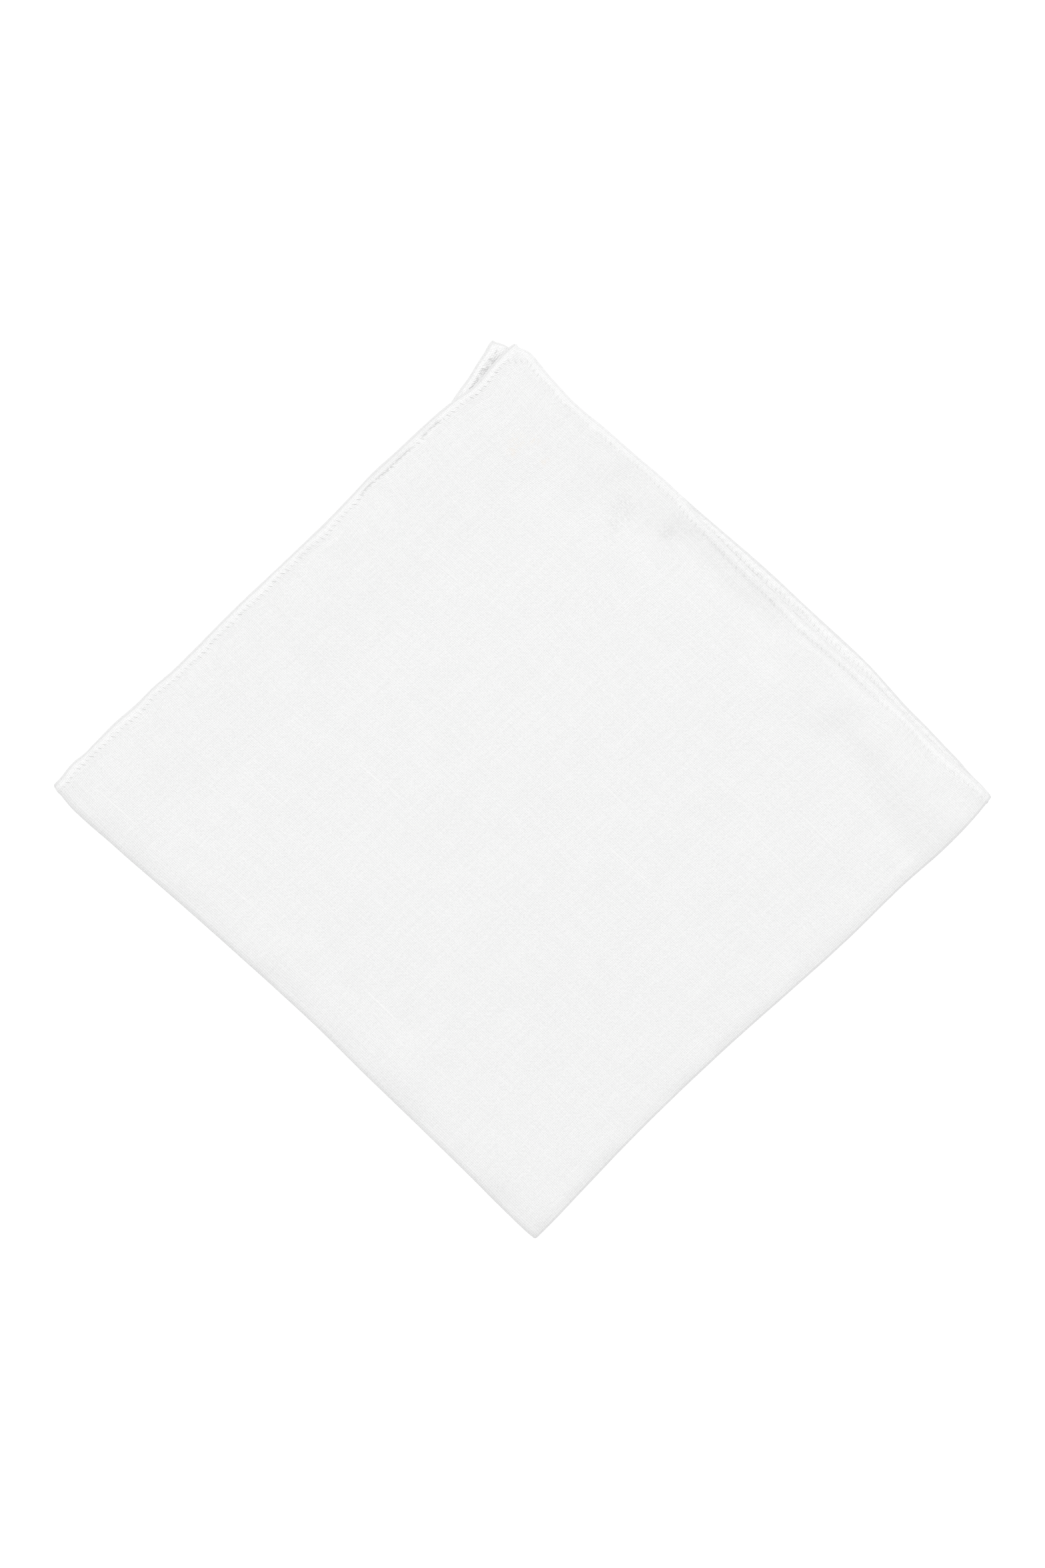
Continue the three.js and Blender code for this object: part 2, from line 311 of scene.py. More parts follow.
# Soft ridges that lift every layer: the puffed right corner, the two hems and the middle
PILE_RIDGES = (
    Crease(start=(0, 143), end=(42, 153), spread=9, rise=0.24),
    Crease(start=(44, 157), end=(106, 157), spread=9, rise=0.16),
    Crease(start=(163, 96), end=(163, 130), spread=8, rise=0.08),
    Crease(start=(70, 52), end=(104, 66), spread=24, rise=0.05),
    Crease(start=(66, 36), end=(92, 34), spread=10, rise=0.06),
)

# Ridges and troughs of the upper two layers alone, mostly along the hems
FRONT_CREASES = (
    Crease(start=(40, 160.5), end=(64, 160.5), spread=0.9, rise=0.18),
    Crease(start=(40, 158.7), end=(64, 158.7), spread=1.1, rise=-0.36),
    Crease(start=(75, 160.5), end=(100, 160.5), spread=0.9, rise=0.14),
    Crease(start=(72, 158.6), end=(100, 158.6), spread=1.2, rise=-0.34),
    Crease(start=(72, 155.3), end=(104, 155), spread=3.6, rise=-0.85),
    Crease(start=(72, 151.5), end=(124, 150), spread=8, rise=-0.85),
    Crease(start=(166.3, 30), end=(166.4, 57), spread=1.6, rise=-0.12),
    Crease(start=(165.4, 84), end=(166.5, 109), spread=1.5, rise=-0.14),
    Crease(start=(167, 111), end=(167, 124), spread=0.9, rise=-0.3),
    Crease(start=(167, 127), end=(167, 133), spread=0.8, rise=-0.3),
    Crease(start=(5, 136.6), end=(40, 146), spread=4.5, rise=-0.75),
    Crease(start=(7, 149.5), end=(30, 153.5), spread=6.5, rise=0.62),
    Crease(start=(142, 146.5), end=(157, 148.5), spread=4.5, rise=-0.24),
    Crease(start=(60, 16), end=(84, 14), spread=5, rise=-0.12),
    Crease(start=(150, 48), end=(162, 31), spread=7, rise=-0.08),
)


@dataclass(frozen=True)
class Pile:
    """The folded pile: how the flat cloth is bent at its two folds and laid in four layers."""

    sheet_thickness: float = 0.5
    layer_pitch: float = 1.4
    hem_pitch: float = 1.85
    loft_from: float = 1.5
    upper_left_loft_to: float = 31
    upper_right_loft_to: float = 27
    steep_place: float = 100
    steep_reach: float = 34
    steep_by: float = 13
    first_fold_radius: float = 0.5
    second_fold_radius: float = 1
    corner_rounding: float = 0.8
    hem_width: float = 4.9
    hem_crown: float = 2.0
    hem_round: float = 0.55
    outer_swell: float = 0.04
    front_inner_swell: float = 0.03
    second_inner_swell: float = 0.52
    swell_blend: float = 2.5
    inner_crown: float = 5
    inner_width: float = 8
    front_droop: float = 0.085
    second_droop: float = 0.08
    droop_reach: float = 2.3
    front_pitch: float = 1.19
    front_rest_from: float = 2
    front_rest_to: float = 30
    hem_edge: float = 0.07
    hem_wobble: float = 0.14
    hem_wobble_reach: float = 12
    hem_ripple: Ripple = Ripple(shortest=9, longest=40, seed=23)
    roll_wobble: float = 0.35
    roll_ripple: Ripple = Ripple(shortest=5, longest=26, seed=11)
    turn_reach: float = 6
    first_press: float = 0.24
    first_press_width: float = 1.7
    second_press: float = 0.45
    second_press_width: float = 3.6
    press_wobble: float = 0.45
    first_press_ripple: Ripple = Ripple(shortest=12, longest=70, seed=31)
    second_press_ripple: Ripple = Ripple(shortest=12, longest=70, seed=37)
    second_lead: float = 2.8
    second_yield: float = 0.55
    rumple: float = 0.05
    rumpling: Rumple = Rumple(shortest=14, longest=70, seed=5)
    front_rumple: float = 0.035
    front_rumpling: Rumple = Rumple(shortest=6, longest=24, seed=8)

    @property
    def folded_width(self) -> float:
        """The folded pile's lower left side, from the centre of the cloth to the left corner."""
        return math.dist(LEFT_CORNER, FOLDED_CENTRE)

    @property
    def folded_length(self) -> float:
        """The folded pile's lower right side, from the centre of the cloth to the right corner."""
        return math.dist(RIGHT_CORNER, FOLDED_CENTRE)

    @property
    def first_turn(self) -> float:
        """The length of cloth in a quarter turn of the first fold."""
        return math.pi / 2 * self.first_fold_radius * self.layer_pitch

    @property
    def second_turn(self) -> float:
        """The length of cloth in a quarter turn of the second fold."""
        return math.pi / 2 * self.second_fold_radius * self.layer_pitch

    @property
    def half_width(self) -> float:
        """Half the flat cloth, from the first fold line to its free edge."""
        reach = self.first_fold_radius * self.hem_pitch + self.sheet_thickness / 2
        return self.folded_width - reach + self.first_turn

    @property
    def half_length(self) -> float:
        """Half the flat cloth, from the second fold line to its free edge."""
        radius = self.first_fold_radius + self.second_fold_radius
        reach = radius * self.hem_pitch + self.sheet_thickness / 2
        return self.folded_length - reach + self.second_turn

    @property
    def flat_size(self) -> Point:
        """The flat cloth's width and length, in metres."""
        return 2 * self.half_width * MM, 2 * self.half_length * MM

    def half_thickness(
        self, face: Face, first: np.ndarray, inward: np.ndarray, along: np.ndarray
    ) -> np.ndarray:
        """Works out how far a face stands off the middle of the sheet: more where the hem is rolled.

        Args:
            face: The face; the roll swells mostly on the inner face of the second layer.
            first: Distances from the first fold line, negative on the inner side of that fold.
            inward: Distances from the free edge.
            along: Distances along the hem, for its unevenness.

        Returns:
            The distance from the middle of the sheet at each place.
        """
        plain = self.sheet_thickness / 2
        if face is Face.INNER:
            front = smoothstep(first, -self.swell_blend, self.swell_blend)
            most = self.second_inner_swell + (self.front_inner_swell - self.second_inner_swell) * front
            return plain + most * (1 - smoothstep(inward, self.inner_crown, self.inner_width))
        uneven = 1 + self.roll_wobble * self.roll_ripple.at(along)
        return plain + self.outer_swell * uneven * (1 - smoothstep(inward, self.hem_crown, self.hem_width))

    def edge_rounding(self, inward: np.ndarray) -> np.ndarray:
        """Works out the share of the half thickness that is left near the free edge.

        Args:
            inward: Distances from the free edge.

        Returns:
            The share from 0 to 1 at each place.
        """
        return np.sqrt(1 - np.clip(1 - inward / self.hem_round, 0, 1) ** 2)

    def hem_shift(self, inward: np.ndarray, along: np.ndarray) -> np.ndarray:
        """Works out how far the hem's uneven width moves a place inwards.

        Args:
            inward: Distances from the free edge.
            along: Distances along the hem.

        Returns:
            The distance inwards at each place.
        """
        wobble = self.hem_wobble * self.hem_ripple.at(along)
        fading = 1 - smoothstep(inward, self.hem_width, self.hem_wobble_reach)
        return wobble * np.minimum(inward, self.hem_width) * fading

    def room(self, from_first: np.ndarray, from_second: np.ndarray) -> np.ndarray:
        """Works out the room for one layer: more at the thick hems and ridges, less at the folds.

        Args:
            from_first: Distances from the first fold line.
            from_second: Distances from the second fold line.

        Returns:
            The pitch of the layers at each place.
        """
        steep = self.steep_by * np.exp(-(((from_first - self.steep_place) / self.steep_reach) ** 2))
        right_loft_to = self.upper_right_loft_to - steep
        plain = smoothstep(self.half_width - from_first, self.loft_from, self.upper_left_loft_to)
        plain = plain * smoothstep(self.half_length - from_second, self.loft_from, right_loft_to)
        pitch = self.hem_pitch + (self.layer_pitch - self.hem_pitch) * plain
        for ridge in PILE_RIDGES:
            pitch = pitch + ridge.height(from_first, from_second)
        uneven_first = 1 + self.press_wobble * self.first_press_ripple.at(from_second)
        uneven_second = 1 + self.press_wobble * self.second_press_ripple.at(from_first)
        near_first = np.exp(-((from_first / self.first_press_width) ** 2))
        near_second = np.exp(-((from_second / self.second_press_width) ** 2))
        pressed = self.first_press * uneven_first * near_first
        return pitch - pressed - self.second_press * uneven_second * near_second

    def rounded(self, from_first: np.ndarray, from_second: np.ndarray) -> tuple[np.ndarray, np.ndarray]:
        """Draws the square loose corner in to a quarter disc.

        Args:
            from_first: Distances from the first fold in the folded pile.
            from_second: Distances from the second fold in the folded pile.

        Returns:
            The two distances again, with the corner rounded.
        """
        across = np.maximum(1 - (self.folded_width - from_first) / self.corner_rounding, 0)
        up = np.maximum(1 - (self.folded_length - from_second) / self.corner_rounding, 0)
        across, up = np.minimum(across, 1), np.minimum(up, 1)
        drawn_first = self.corner_rounding * across * (1 - np.sqrt(1 - up**2 / 2))
        drawn_second = self.corner_rounding * up * (1 - np.sqrt(1 - across**2 / 2))
        return from_first - drawn_first, from_second - drawn_second

    def folded(self, first: np.ndarray, second: np.ndarray, face: Face) -> np.ndarray:
        """Folds places of the flat cloth.

        Args:
            first: Distances from the first fold line, negative on the inner side of that fold.
            second: Distances from the second fold line, negative under that fold.
            face: Which face of the sheet.

        Returns:
            One place in the folded pile for each pair of distances.
        """
        across, along = np.abs(first), np.abs(second)
        to_left_hem, to_right_hem = self.half_width - across, self.half_length - along
        inward = np.minimum(to_left_hem, to_right_hem)
        hem_along = np.where(to_left_hem < to_right_hem, second, first + 2 * self.half_width)
        outer_half = self.half_thickness(Face.OUTER, first, inward, hem_along)
        own_half = self.half_thickness(face, first, inward, hem_along) * self.edge_rounding(inward)
        stand_off = face.value * np.maximum(own_half, self.hem_edge)
        pitch = self.room(across, along)

        first_angle = np.clip(first / self.first_turn, -1, 1) * math.pi / 2
        second_angle = np.clip(second / self.second_turn, -1, 1) * math.pi / 2
        outer, upper = (1 + np.sin(first_angle)) / 2, (1 + np.sin(second_angle)) / 2
        resting = upper * (1 - smoothstep(inward, self.front_rest_from, self.front_rest_to))
        own_pitch = pitch + (self.front_pitch - pitch) * resting
        first_past = np.maximum(across - self.first_turn, 0)
        second_past = np.maximum(along - self.second_turn, 0)
        first_past = first_past - self.hem_shift(to_left_hem, second)
        second_past = second_past - self.hem_shift(to_right_hem, first + 2 * self.half_width)

        near_first = 1 - smoothstep(first_past, 0, self.turn_reach)
        near_second = 1 - smoothstep(second_past, 0, self.turn_reach)
        plain_half = self.sheet_thickness / 2
        extra = outer_half - plain_half
        first_radius = self.first_fold_radius * own_pitch + stand_off
        first_reach = self.first_fold_radius * own_pitch + plain_half + extra * near_first
        from_first = first_reach - first_radius * np.cos(first_angle) + first_past

        outer_radius = self.first_fold_radius * own_pitch + self.second_fold_radius * pitch
        second_reach = outer_radius + plain_half + extra * near_second
        second_radius = self.second_fold_radius * pitch + first_radius * np.sin(first_angle)
        from_second = second_reach - second_radius * np.cos(second_angle) + second_past
        height = outer_radius + outer_half + second_radius * np.sin(second_angle)

        from_first, from_second = self.rounded(from_first, from_second)
        shares = {
            Layer.FRONT: outer * upper,
            Layer.SECOND: (1 - outer) * upper,
            Layer.THIRD: (1 - outer) * (1 - upper),
            Layer.BOTTOM: outer * (1 - upper),
        }
        plan = np.zeros((len(first), 2))
        for layer, share in shares.items():
            place = LayerPlan(layer).place(from_first / self.folded_width, from_second / self.folded_length)
            plan += share[:, None] * place
        height += self.relief(across, along, shares) - self.droop(inward, shares)
        return np.column_stack((plan, height))

    def droop(self, inward: np.ndarray, shares: dict[Layer, np.ndarray]) -> np.ndarray:
        """Works out how far the upper two layers hang down towards their free edges.

        Args:
            inward: Distances from the free edge.
            shares: How far each place belongs to each layer.

        Returns:
            The height that it takes away at each place.
        """
        hanging = self.front_droop * shares[Layer.FRONT] + self.second_droop * shares[Layer.SECOND]
        return hanging * (1 - smoothstep(inward, 0, self.droop_reach))

    def relief(self, across: np.ndarray, along: np.ndarray, shares: dict[Layer, np.ndarray]) -> np.ndarray:
        """Works out the low creases and rumples that lie on top of the plain pile.

        Args:
            across: Distances from the first fold line.
            along: Distances from the second fold line.
            shares: How far each place belongs to each layer.

        Returns:
            The height that they add at each place.
        """
        front, second = shares[Layer.FRONT], shares[Layer.SECOND]
        creases = front * self.creased(across, along)
        creases += self.second_yield * second * self.creased(across, along + self.second_lead)
        common = self.rumple * (1 + self.rumpling.at(across, along)) * (1 - shares[Layer.BOTTOM])
        own = self.front_rumple * self.front_rumpling.at(across, along) * front
        return creases + common + own

    def creased(self, across: np.ndarray, along: np.ndarray) -> np.ndarray:
        """Adds up the creases of the upper layers at places on the front one."""
        return sum(crease.height(across, along) for crease in FRONT_CREASES)


@dataclass(frozen=True)
class ClothGrid:
    """Rows of points across the flat cloth: close in its turns and its hems, and closer in front."""

    pile: Pile
    turn_cells: int = 8
    edge_cells: int = 5
    hem_cells: int = 10
    front_cells: int = 126
    back_cells: int = 48
    grading: float = 0.07

    def half(self, turn: float, half_size: float, cells: int) -> np.ndarray:
        """Places the rows of one half.

        Args:
            turn: The length of cloth in the quarter turn at the fold line.
            half_size: The distance from the fold line to the free edge.
            cells: The number of cells between the turn and the hem.

        Returns:
            The distances from the fold line, from the turn's first row to the free edge.
        """
        pile = self.pile
        angles = np.linspace(math.pi / 2, 0, self.edge_cells + 1)
        edge = pile.hem_round * (1 - np.cos(angles))
        swell = np.linspace(pile.hem_width, pile.hem_round, self.hem_cells + 1)
        hem = half_size - np.concatenate((swell[:-1], edge))
        share = np.arange(1, cells) / cells
        graded = share - self.grading * np.sin(math.tau * share) / 2
        plain = turn + (hem[0] - turn) * graded
        turn_rows = turn * np.arange(1, self.turn_cells + 1) / self.turn_cells
        return np.concatenate((turn_rows, plain, hem))

    def rows(self, turn: float, half_size: float) -> np.ndarray:
        """Places the rows from the far free edge, through the fold line, to the front's free edge.

        Args:
            turn: The length of cloth in the quarter turn at the fold line.
            half_size: The distance from the fold line to the free edge.

        Returns:
            The distances from the fold line, negative behind it.
        """
        back = self.half(turn, half_size, self.back_cells)
        front = self.half(turn, half_size, self.front_cells)
        return np.concatenate((-back[::-1], [0], front))


class Weaver:
    """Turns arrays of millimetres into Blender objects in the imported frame."""

    def __init__(self, shift: np.ndarray) -> None:
        """Keeps the move from the fold formula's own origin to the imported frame's."""
        self.shift = shift

    def piece(self, name: str, points: np.ndarray, faces: list, edges: list = ()) -> bpy.types.Object:
        """Makes an object at the origin, with its place in its mesh.

        Args:
            name: The piece's name.
            points: Its points, in millimetres.
            faces: Its faces, as lists of point numbers.
            edges: Its loose edges, as pairs of point numbers.

        Returns:
            The new object, linked to the scene.
        """
        mesh = bpy.data.meshes.new(name)
        mesh.from_pydata((points + self.shift) * MM, edges, faces)
        mesh.update()
        made = bpy.data.objects.new(name, mesh)
        bpy.context.scene.collection.objects.link(made)
        return made


class NodePad:
    """Adds nodes to a tree, links them, and sets what isn't linked on the sockets themselves."""

    def __init__(self, tree: bpy.types.NodeTree) -> None:
        """Keeps the tree."""
        self.tree = tree

    def feed(self, socket: bpy.types.NodeSocket, value: object) -> None:
        """Links a socket to another one, or sets its own value.

        Args:
            socket: The input socket.
            value: The output socket or the plain value.
        """
        if isinstance(value, bpy.types.NodeSocket):
            self.tree.links.new(value, socket)
        else:
            socket.default_value = value

    def add(self, kind: str, feeds: dict | None = None, **settings: object) -> bpy.types.Node:
        """Adds a node.

        Args:
            kind: Blender's name of the node type.
            feeds: What goes into its inputs, by their names or numbers.
            settings: Its own settings.

        Returns:
            The node.
        """
        node = self.tree.nodes.new(kind)
        for name, value in settings.items():
            setattr(node, name, value)
        for key, value in (feeds or {}).items():
            self.feed(node.inputs[key], value)
        return node

    def math(self, operation: str, *values: object) -> bpy.types.NodeSocket:
        """Adds a Math node.

        Args:
            operation: Blender's name of the operation.
            values: Its inputs, in order.

        Returns:
            Its result.
        """
        return self.add("ShaderNodeMath", dict(enumerate(values)), operation=operation).outputs[0]

    def ease(self, value: object, low: float, high: float, to_low: float = 0, to_high: float = 1) -> object:
        """Adds a smooth Map Range node.

        Args:
            value: What it reads.
            low: Where the result leaves to_low.
            high: Where the result reaches to_high.
            to_low: The result at low.
            to_high: The result at high.

        Returns:
            Its result.
        """
        feeds = {"Value": value, "From Min": low, "From Max": high, "To Min": to_low, "To Max": to_high}
        return self.add("ShaderNodeMapRange", feeds, interpolation_type="SMOOTHSTEP").outputs["Result"]

    def noise(self, vector: object, scale: float, detail: float = 2) -> bpy.types.NodeSocket:
        """Adds a Noise Texture.

        Args:
            vector: Where it is read.
            scale: Its scale.
            detail: Its finer octaves.

        Returns:
            Its grey value.
        """
        feeds = {"Vector": vector, "Scale": scale, "Detail": detail}
        return self.add("ShaderNodeTexNoise", feeds).outputs["Fac"]

    def vector(self, x: object, y: object, z: object = 0.0) -> bpy.types.NodeSocket:
        """Joins three values into a vector."""
        return self.add("ShaderNodeCombineXYZ", {0: x, 1: y, 2: z}).outputs[0]

    def bell(self, away: object) -> bpy.types.NodeSocket:
        """Draws a bell curve: 1 where its input is 0, and next to nothing from 2 on."""
        return self.math("EXPONENT", self.math("MULTIPLY", self.math("MULTIPLY", away, away), -1.0))

    def window(self, value: object, rise: Point, fall: Point) -> bpy.types.NodeSocket:
        """Eases from 0 to 1 over the rise, and back to 0 over the fall."""
        return self.math("MULTIPLY", self.ease(value, *rise), self.ease(value, *fall, 1.0, 0.0))

    def pick(self, choice: object, if_not: object, if_so: object) -> bpy.types.NodeSocket:
        """Takes the first value where the choice is 0, and the second where it is 1."""
        return self.add("ShaderNodeMix", {0: choice, 2: if_not, 3: if_so}).outputs[0]

    def blend(self, share: object, base: object, colour: Colour) -> bpy.types.NodeSocket:
        """Lays a colour over another one.

        Args:
            share: How much of the colour shows, from 0 to 1.
            base: What it lies over: a plain colour or a socket.
            colour: The colour.

        Returns:
            The mixed colour.
        """
        under = (*base, 1) if isinstance(base, tuple) else base
        return self.add("ShaderNodeMix", {0: share, 6: under, 7: (*colour, 1)}, data_type="RGBA").outputs[2]


def new_material(name: str) -> tuple[bpy.types.Material, NodePad, bpy.types.Node]:
    """Makes a material with an empty Principled shader.

    Args:
        name: Its name.

    Returns:
        The material, its node pad and its shader node.
    """
    material = bpy.data.materials.new(name)
    material.use_nodes = True
    return material, NodePad(material.node_tree), material.node_tree.nodes["Principled BSDF"]


class FlatPad(NodePad):
    """A node pad that knows its place on the flat cloth, in millimetres from the two fold lines."""

    def __init__(self, tree: bpy.types.NodeTree, uv_name: str, flat_half: Point) -> None:
        """Adds the two distances: u from the second fold line, and v from the first.

        Args:
            tree: The material's tree.
            uv_name: The map that holds the flat cloth's own distances, in metres.
            flat_half: Half the flat cloth across the first fold line, and across the second.
        """
        super().__init__(tree)
        self.flat_half = flat_half
        flat = self.add("ShaderNodeUVMap", uv_map=uv_name).outputs["UV"]
        split = self.add("ShaderNodeSeparateXYZ", {0: flat})
        self.u = self.math("DIVIDE", split.outputs[0], MM)
        self.v = self.math("DIVIDE", split.outputs[1], MM)


@dataclass(frozen=True)
class Weave:
    """Plain weave: yarns of uneven thickness that wander a little and go over and under each other."""

    yarn_pitch: float = 0.46
    wander: float = 0.32
    wander_scale: float = 0.45
    wander_stretch: float = 0.25
    slub_length: float = 14
    yarn_step: float = 0.731
    sunk: float = 0.5
    warp_seed: float = 3.1
    weft_seed: float = 17.7

    def yarns(self, pad: FlatPad, across: object, along: object, seed: float) -> tuple[object, ...]:
        """Draws the yarns of one direction.

        Args:
            pad: The material's node pad.
            across: The distance across the yarns, in millimetres.
            along: The distance along the yarns, in millimetres.
            seed: What sets this direction's unevenness apart.

        Returns:
            The yarn's round profile, its turn of over or under, and its own thickness.
        """
        stretched = pad.math("MULTIPLY", along, self.wander_stretch)
        wander = pad.noise(pad.vector(across, stretched, seed), self.wander_scale)
        count = pad.math("DIVIDE", pad.math("MULTIPLY_ADD", wander, self.wander, across), self.yarn_pitch)
        profile = pad.math("ABSOLUTE", pad.math("SINE", pad.math("MULTIPLY", count, math.pi)))
        number = pad.math("FLOOR", count)
        turn = pad.math("COSINE", pad.math("MULTIPLY", number, math.pi))
        lane = pad.math("MULTIPLY", number, self.yarn_step)
        place = pad.vector(lane, pad.math("DIVIDE", along, self.slub_length), seed)
        return profile, turn, pad.noise(place, 1.0, detail=3)

    def draw(self, pad: FlatPad) -> tuple[object, object]:
        """Weaves the two directions over and under each other.

        Args:
            pad: The material's node pad.

        Returns:
            The weave's height from 0 to 1, and how thick its two yarns are there.
        """
        warp, warp_turn, warp_body = self.yarns(pad, pad.u, pad.v, self.warp_seed)
        weft, weft_turn, weft_body = self.yarns(pad, pad.v, pad.u, self.weft_seed)
        warp_over = pad.math("GREATER_THAN", pad.math("MULTIPLY", warp_turn, weft_turn), 0.0)
        warp_height = pad.math("MULTIPLY", warp, pad.math("MULTIPLY_ADD", weft, self.sunk, 1 - self.sunk))
        weft_height = pad.math("MULTIPLY", weft, pad.math("MULTIPLY_ADD", warp, self.sunk, 1 - self.sunk))
        return pad.pick(warp_over, weft_height, warp_height), pad.math("ADD", warp_body, weft_body)


@dataclass(frozen=True)
class HemMarks:
    """The sewn hem: the pits of its stitches, the slanting wrinkles of its roll, and the painted shade along
    its rim.
    """

    line: float = 2.15
    line_width: float = 0.42
    roll_edge: Point = (1.62, 2.7)
    # painted shade along the rim: where it eases out from the free edge, and how much of it the front layer's
    # right hem keeps
    rim_shade_edge: Point = (0.3, 1.0)
    front_rim_shade: float = 0.45
    pit_pitch: float = 1.5
    pit_edge: Point = (-0.6, 0.9)
    patch_scale: float = 0.12
    patch_edge: Point = (0.5, 0.66)
    dimple_scale: float = 0.42
    dimple_stretch: float = 0.6
    dimple_edge: Point = (0.54, 0.68)
    wrinkle_pitch: float = 2.6
    wrinkle_slant: float = 0.8
    wrinkle_scale: float = 0.5
    wrinkle_wander: float = 2.4

    def draw(self, pad: FlatPad) -> tuple[object, ...]:
        """Draws the marks along all four sides.

        Args:
            pad: The material's node pad.

        Returns:
            The share of a pit, the roll's wrinkles from -1 to 1, the share of the roll, and the share of
            painted shade along the rim.
        """
        to_left_hem = pad.math("SUBTRACT", pad.flat_half[0], pad.math("ABSOLUTE", pad.v))
        to_right_hem = pad.math("SUBTRACT", pad.flat_half[1], pad.math("ABSOLUTE", pad.u))
        inward = pad.math("MINIMUM", to_left_hem, to_right_hem)
        left = pad.math("LESS_THAN", to_left_hem, to_right_hem)
        along = pad.pick(left, pad.v, pad.u)

        on_line = pad.bell(pad.math("DIVIDE", pad.math("SUBTRACT", inward, self.line), self.line_width))
        beat = pad.math("COSINE", pad.math("MULTIPLY", along, math.tau / self.pit_pitch))
        patch = pad.ease(pad.noise(pad.vector(along, 0.0), self.patch_scale), *self.patch_edge)
        stitched = pad.math("MULTIPLY", patch, pad.ease(beat, *self.pit_edge))
        dimple = pad.vector(along, pad.math("MULTIPLY", inward, self.dimple_stretch))
        dimple = pad.ease(pad.noise(dimple, self.dimple_scale), *self.dimple_edge)
        pits = pad.math("MULTIPLY", on_line, pad.math("MAXIMUM", stitched, dimple))

        slant = pad.math("ADD", along, pad.math("MULTIPLY", inward, self.wrinkle_slant))
        wander = pad.noise(pad.vector(along, inward), self.wrinkle_scale)
        slant = pad.math("MULTIPLY_ADD", wander, self.wrinkle_wander, slant)
        wrinkle = pad.math("COSINE", pad.math("MULTIPLY", slant, math.tau / self.wrinkle_pitch))

        roll = pad.ease(inward, *self.roll_edge, 1.0, 0.0)
        # Painted shade along the rim of every free edge, weaker on the front layer's right hem
        rim = pad.ease(inward, *self.rim_shade_edge, 1.0, 0.0)
        in_front = pad.math("MULTIPLY", pad.math("GREATER_THAN", pad.v, 0.0), pad.math("SUBTRACT", 1.0, left))
        rim = pad.math("MULTIPLY", rim, pad.math("MULTIPLY_ADD", in_front, self.front_rim_shade - 1, 1.0))
        return pits, pad.math("MULTIPLY", wrinkle, roll), roll, rim


@dataclass(frozen=True)
class PulledStitchShade:
    """Stretches of the front layer's hem whose stitches are pulled tight and leave small holes, coloured dark
    with painted shade.
    """

    stretches: tuple[Point, ...] = ((106, 125), (127, 135))
    fade: float = 2
    inward: float = 1.95
    width: float = 0.32
    dot_seed: float = 3.0
    dot_scale: float = 1.6
    dot_edge: Point = (0.32, 0.55)

    def draw(self, pad: FlatPad) -> object:
        """Draws the painted shade in the holes.

        Args:
            pad: The material's node pad.

        Returns:
            The share of painted hole shade from 0 to 1.
        """
        # painted shade in the holes of the pulled stitches
        inward = pad.math("SUBTRACT", pad.flat_half[0], pad.v)
        on_line = pad.bell(pad.math("DIVIDE", pad.math("SUBTRACT", inward, self.inward), self.width))
        total: object = 0.0
        for start, end in self.stretches:
            stretch = pad.window(pad.u, (start, start + self.fade), (end - self.fade, end))
            total = pad.math("MAXIMUM", total, stretch)
        dots = pad.noise(pad.vector(pad.u, pad.v, self.dot_seed), self.dot_scale, detail=1)
        dots = pad.ease(dots, *self.dot_edge)
        return pad.math("MULTIPLY", pad.math("MULTIPLY", total, on_line), dots)


@dataclass(frozen=True)
class OpenCorner:
    """The open weave beside the rolled hem at the second layer's loose corner, where painted shade shows in
    its holes.
    """

    beside: tuple[Point, Point] = ((1.3, 1.8), (6.3, 8.3))
    below: tuple[Point, Point] = ((1.8, 2.6), (13, 18))

    def draw(self, pad: FlatPad) -> object:
        """Draws how far the weave is open.

        Args:
            pad: The material's node pad.

        Returns:
            The share of open weave from 0 to 1.
        """
        beside = pad.window(pad.math("ADD", pad.v, pad.flat_half[0]), *self.beside)
        below = pad.window(pad.math("SUBTRACT", pad.flat_half[1], pad.u), *self.below)
        return pad.math("MULTIPLY", beside, below)


@dataclass(frozen=True)
class Mark:
    """A faint mark on the linen, in millimetres from the part's origin, and how far out it fades."""

    centre: Point
    reach: float


@dataclass(frozen=True)
class GrainyMarks:
    """Marks that break up into grains."""

    marks: tuple[Mark, ...]
    grain_scale: float
    most: float
    grain_edge: Point = (0.4, 0.65)

    def draw(self, pad: NodePad) -> object:
        """Draws the marks.

        Args:
            pad: The material's node pad.

        Returns:
            The marks' share from 0 to 1.
        """
        place = pad.add("ShaderNodeTexCoord").outputs["Object"]
        grain = pad.ease(pad.noise(place, self.grain_scale, detail=3), *self.grain_edge)
        plan = pad.add("ShaderNodeVectorMath", {0: place, 1: (1, 1, 0)}, operation="MULTIPLY").outputs[0]
        total: object = 0.0
        for each in self.marks:
            centre = (each.centre[0] * MM, each.centre[1] * MM, 0.0)
            away = pad.add("ShaderNodeVectorMath", {0: plan, 1: centre}, operation="DISTANCE")
            mark = pad.ease(away.outputs["Value"], 0.0, each.reach * MM, 1.0, 0.0)
            total = pad.math("MAXIMUM", total, mark)
        return pad.math("MULTIPLY", total, pad.math("MULTIPLY", grain, self.most))


STAINS = (
    Mark(centre=(-1.4, 88.7), reach=3.0),
    Mark(centre=(2.9, 88.7), reach=2.4),
    Mark(centre=(-2.7, 85.7), reach=2.0),
    Mark(centre=(5.6, 83.5), reach=1.8),
)
# Darker grainy patches, in millimetres from the part's origin
DARK_GRAINY_PATCHES = (
    Mark(centre=(25.4, 71.6), reach=6.0),
    Mark(centre=(23.0, 67.4), reach=3.4),
    Mark(centre=(36.8, 65.2), reach=3.4),
)


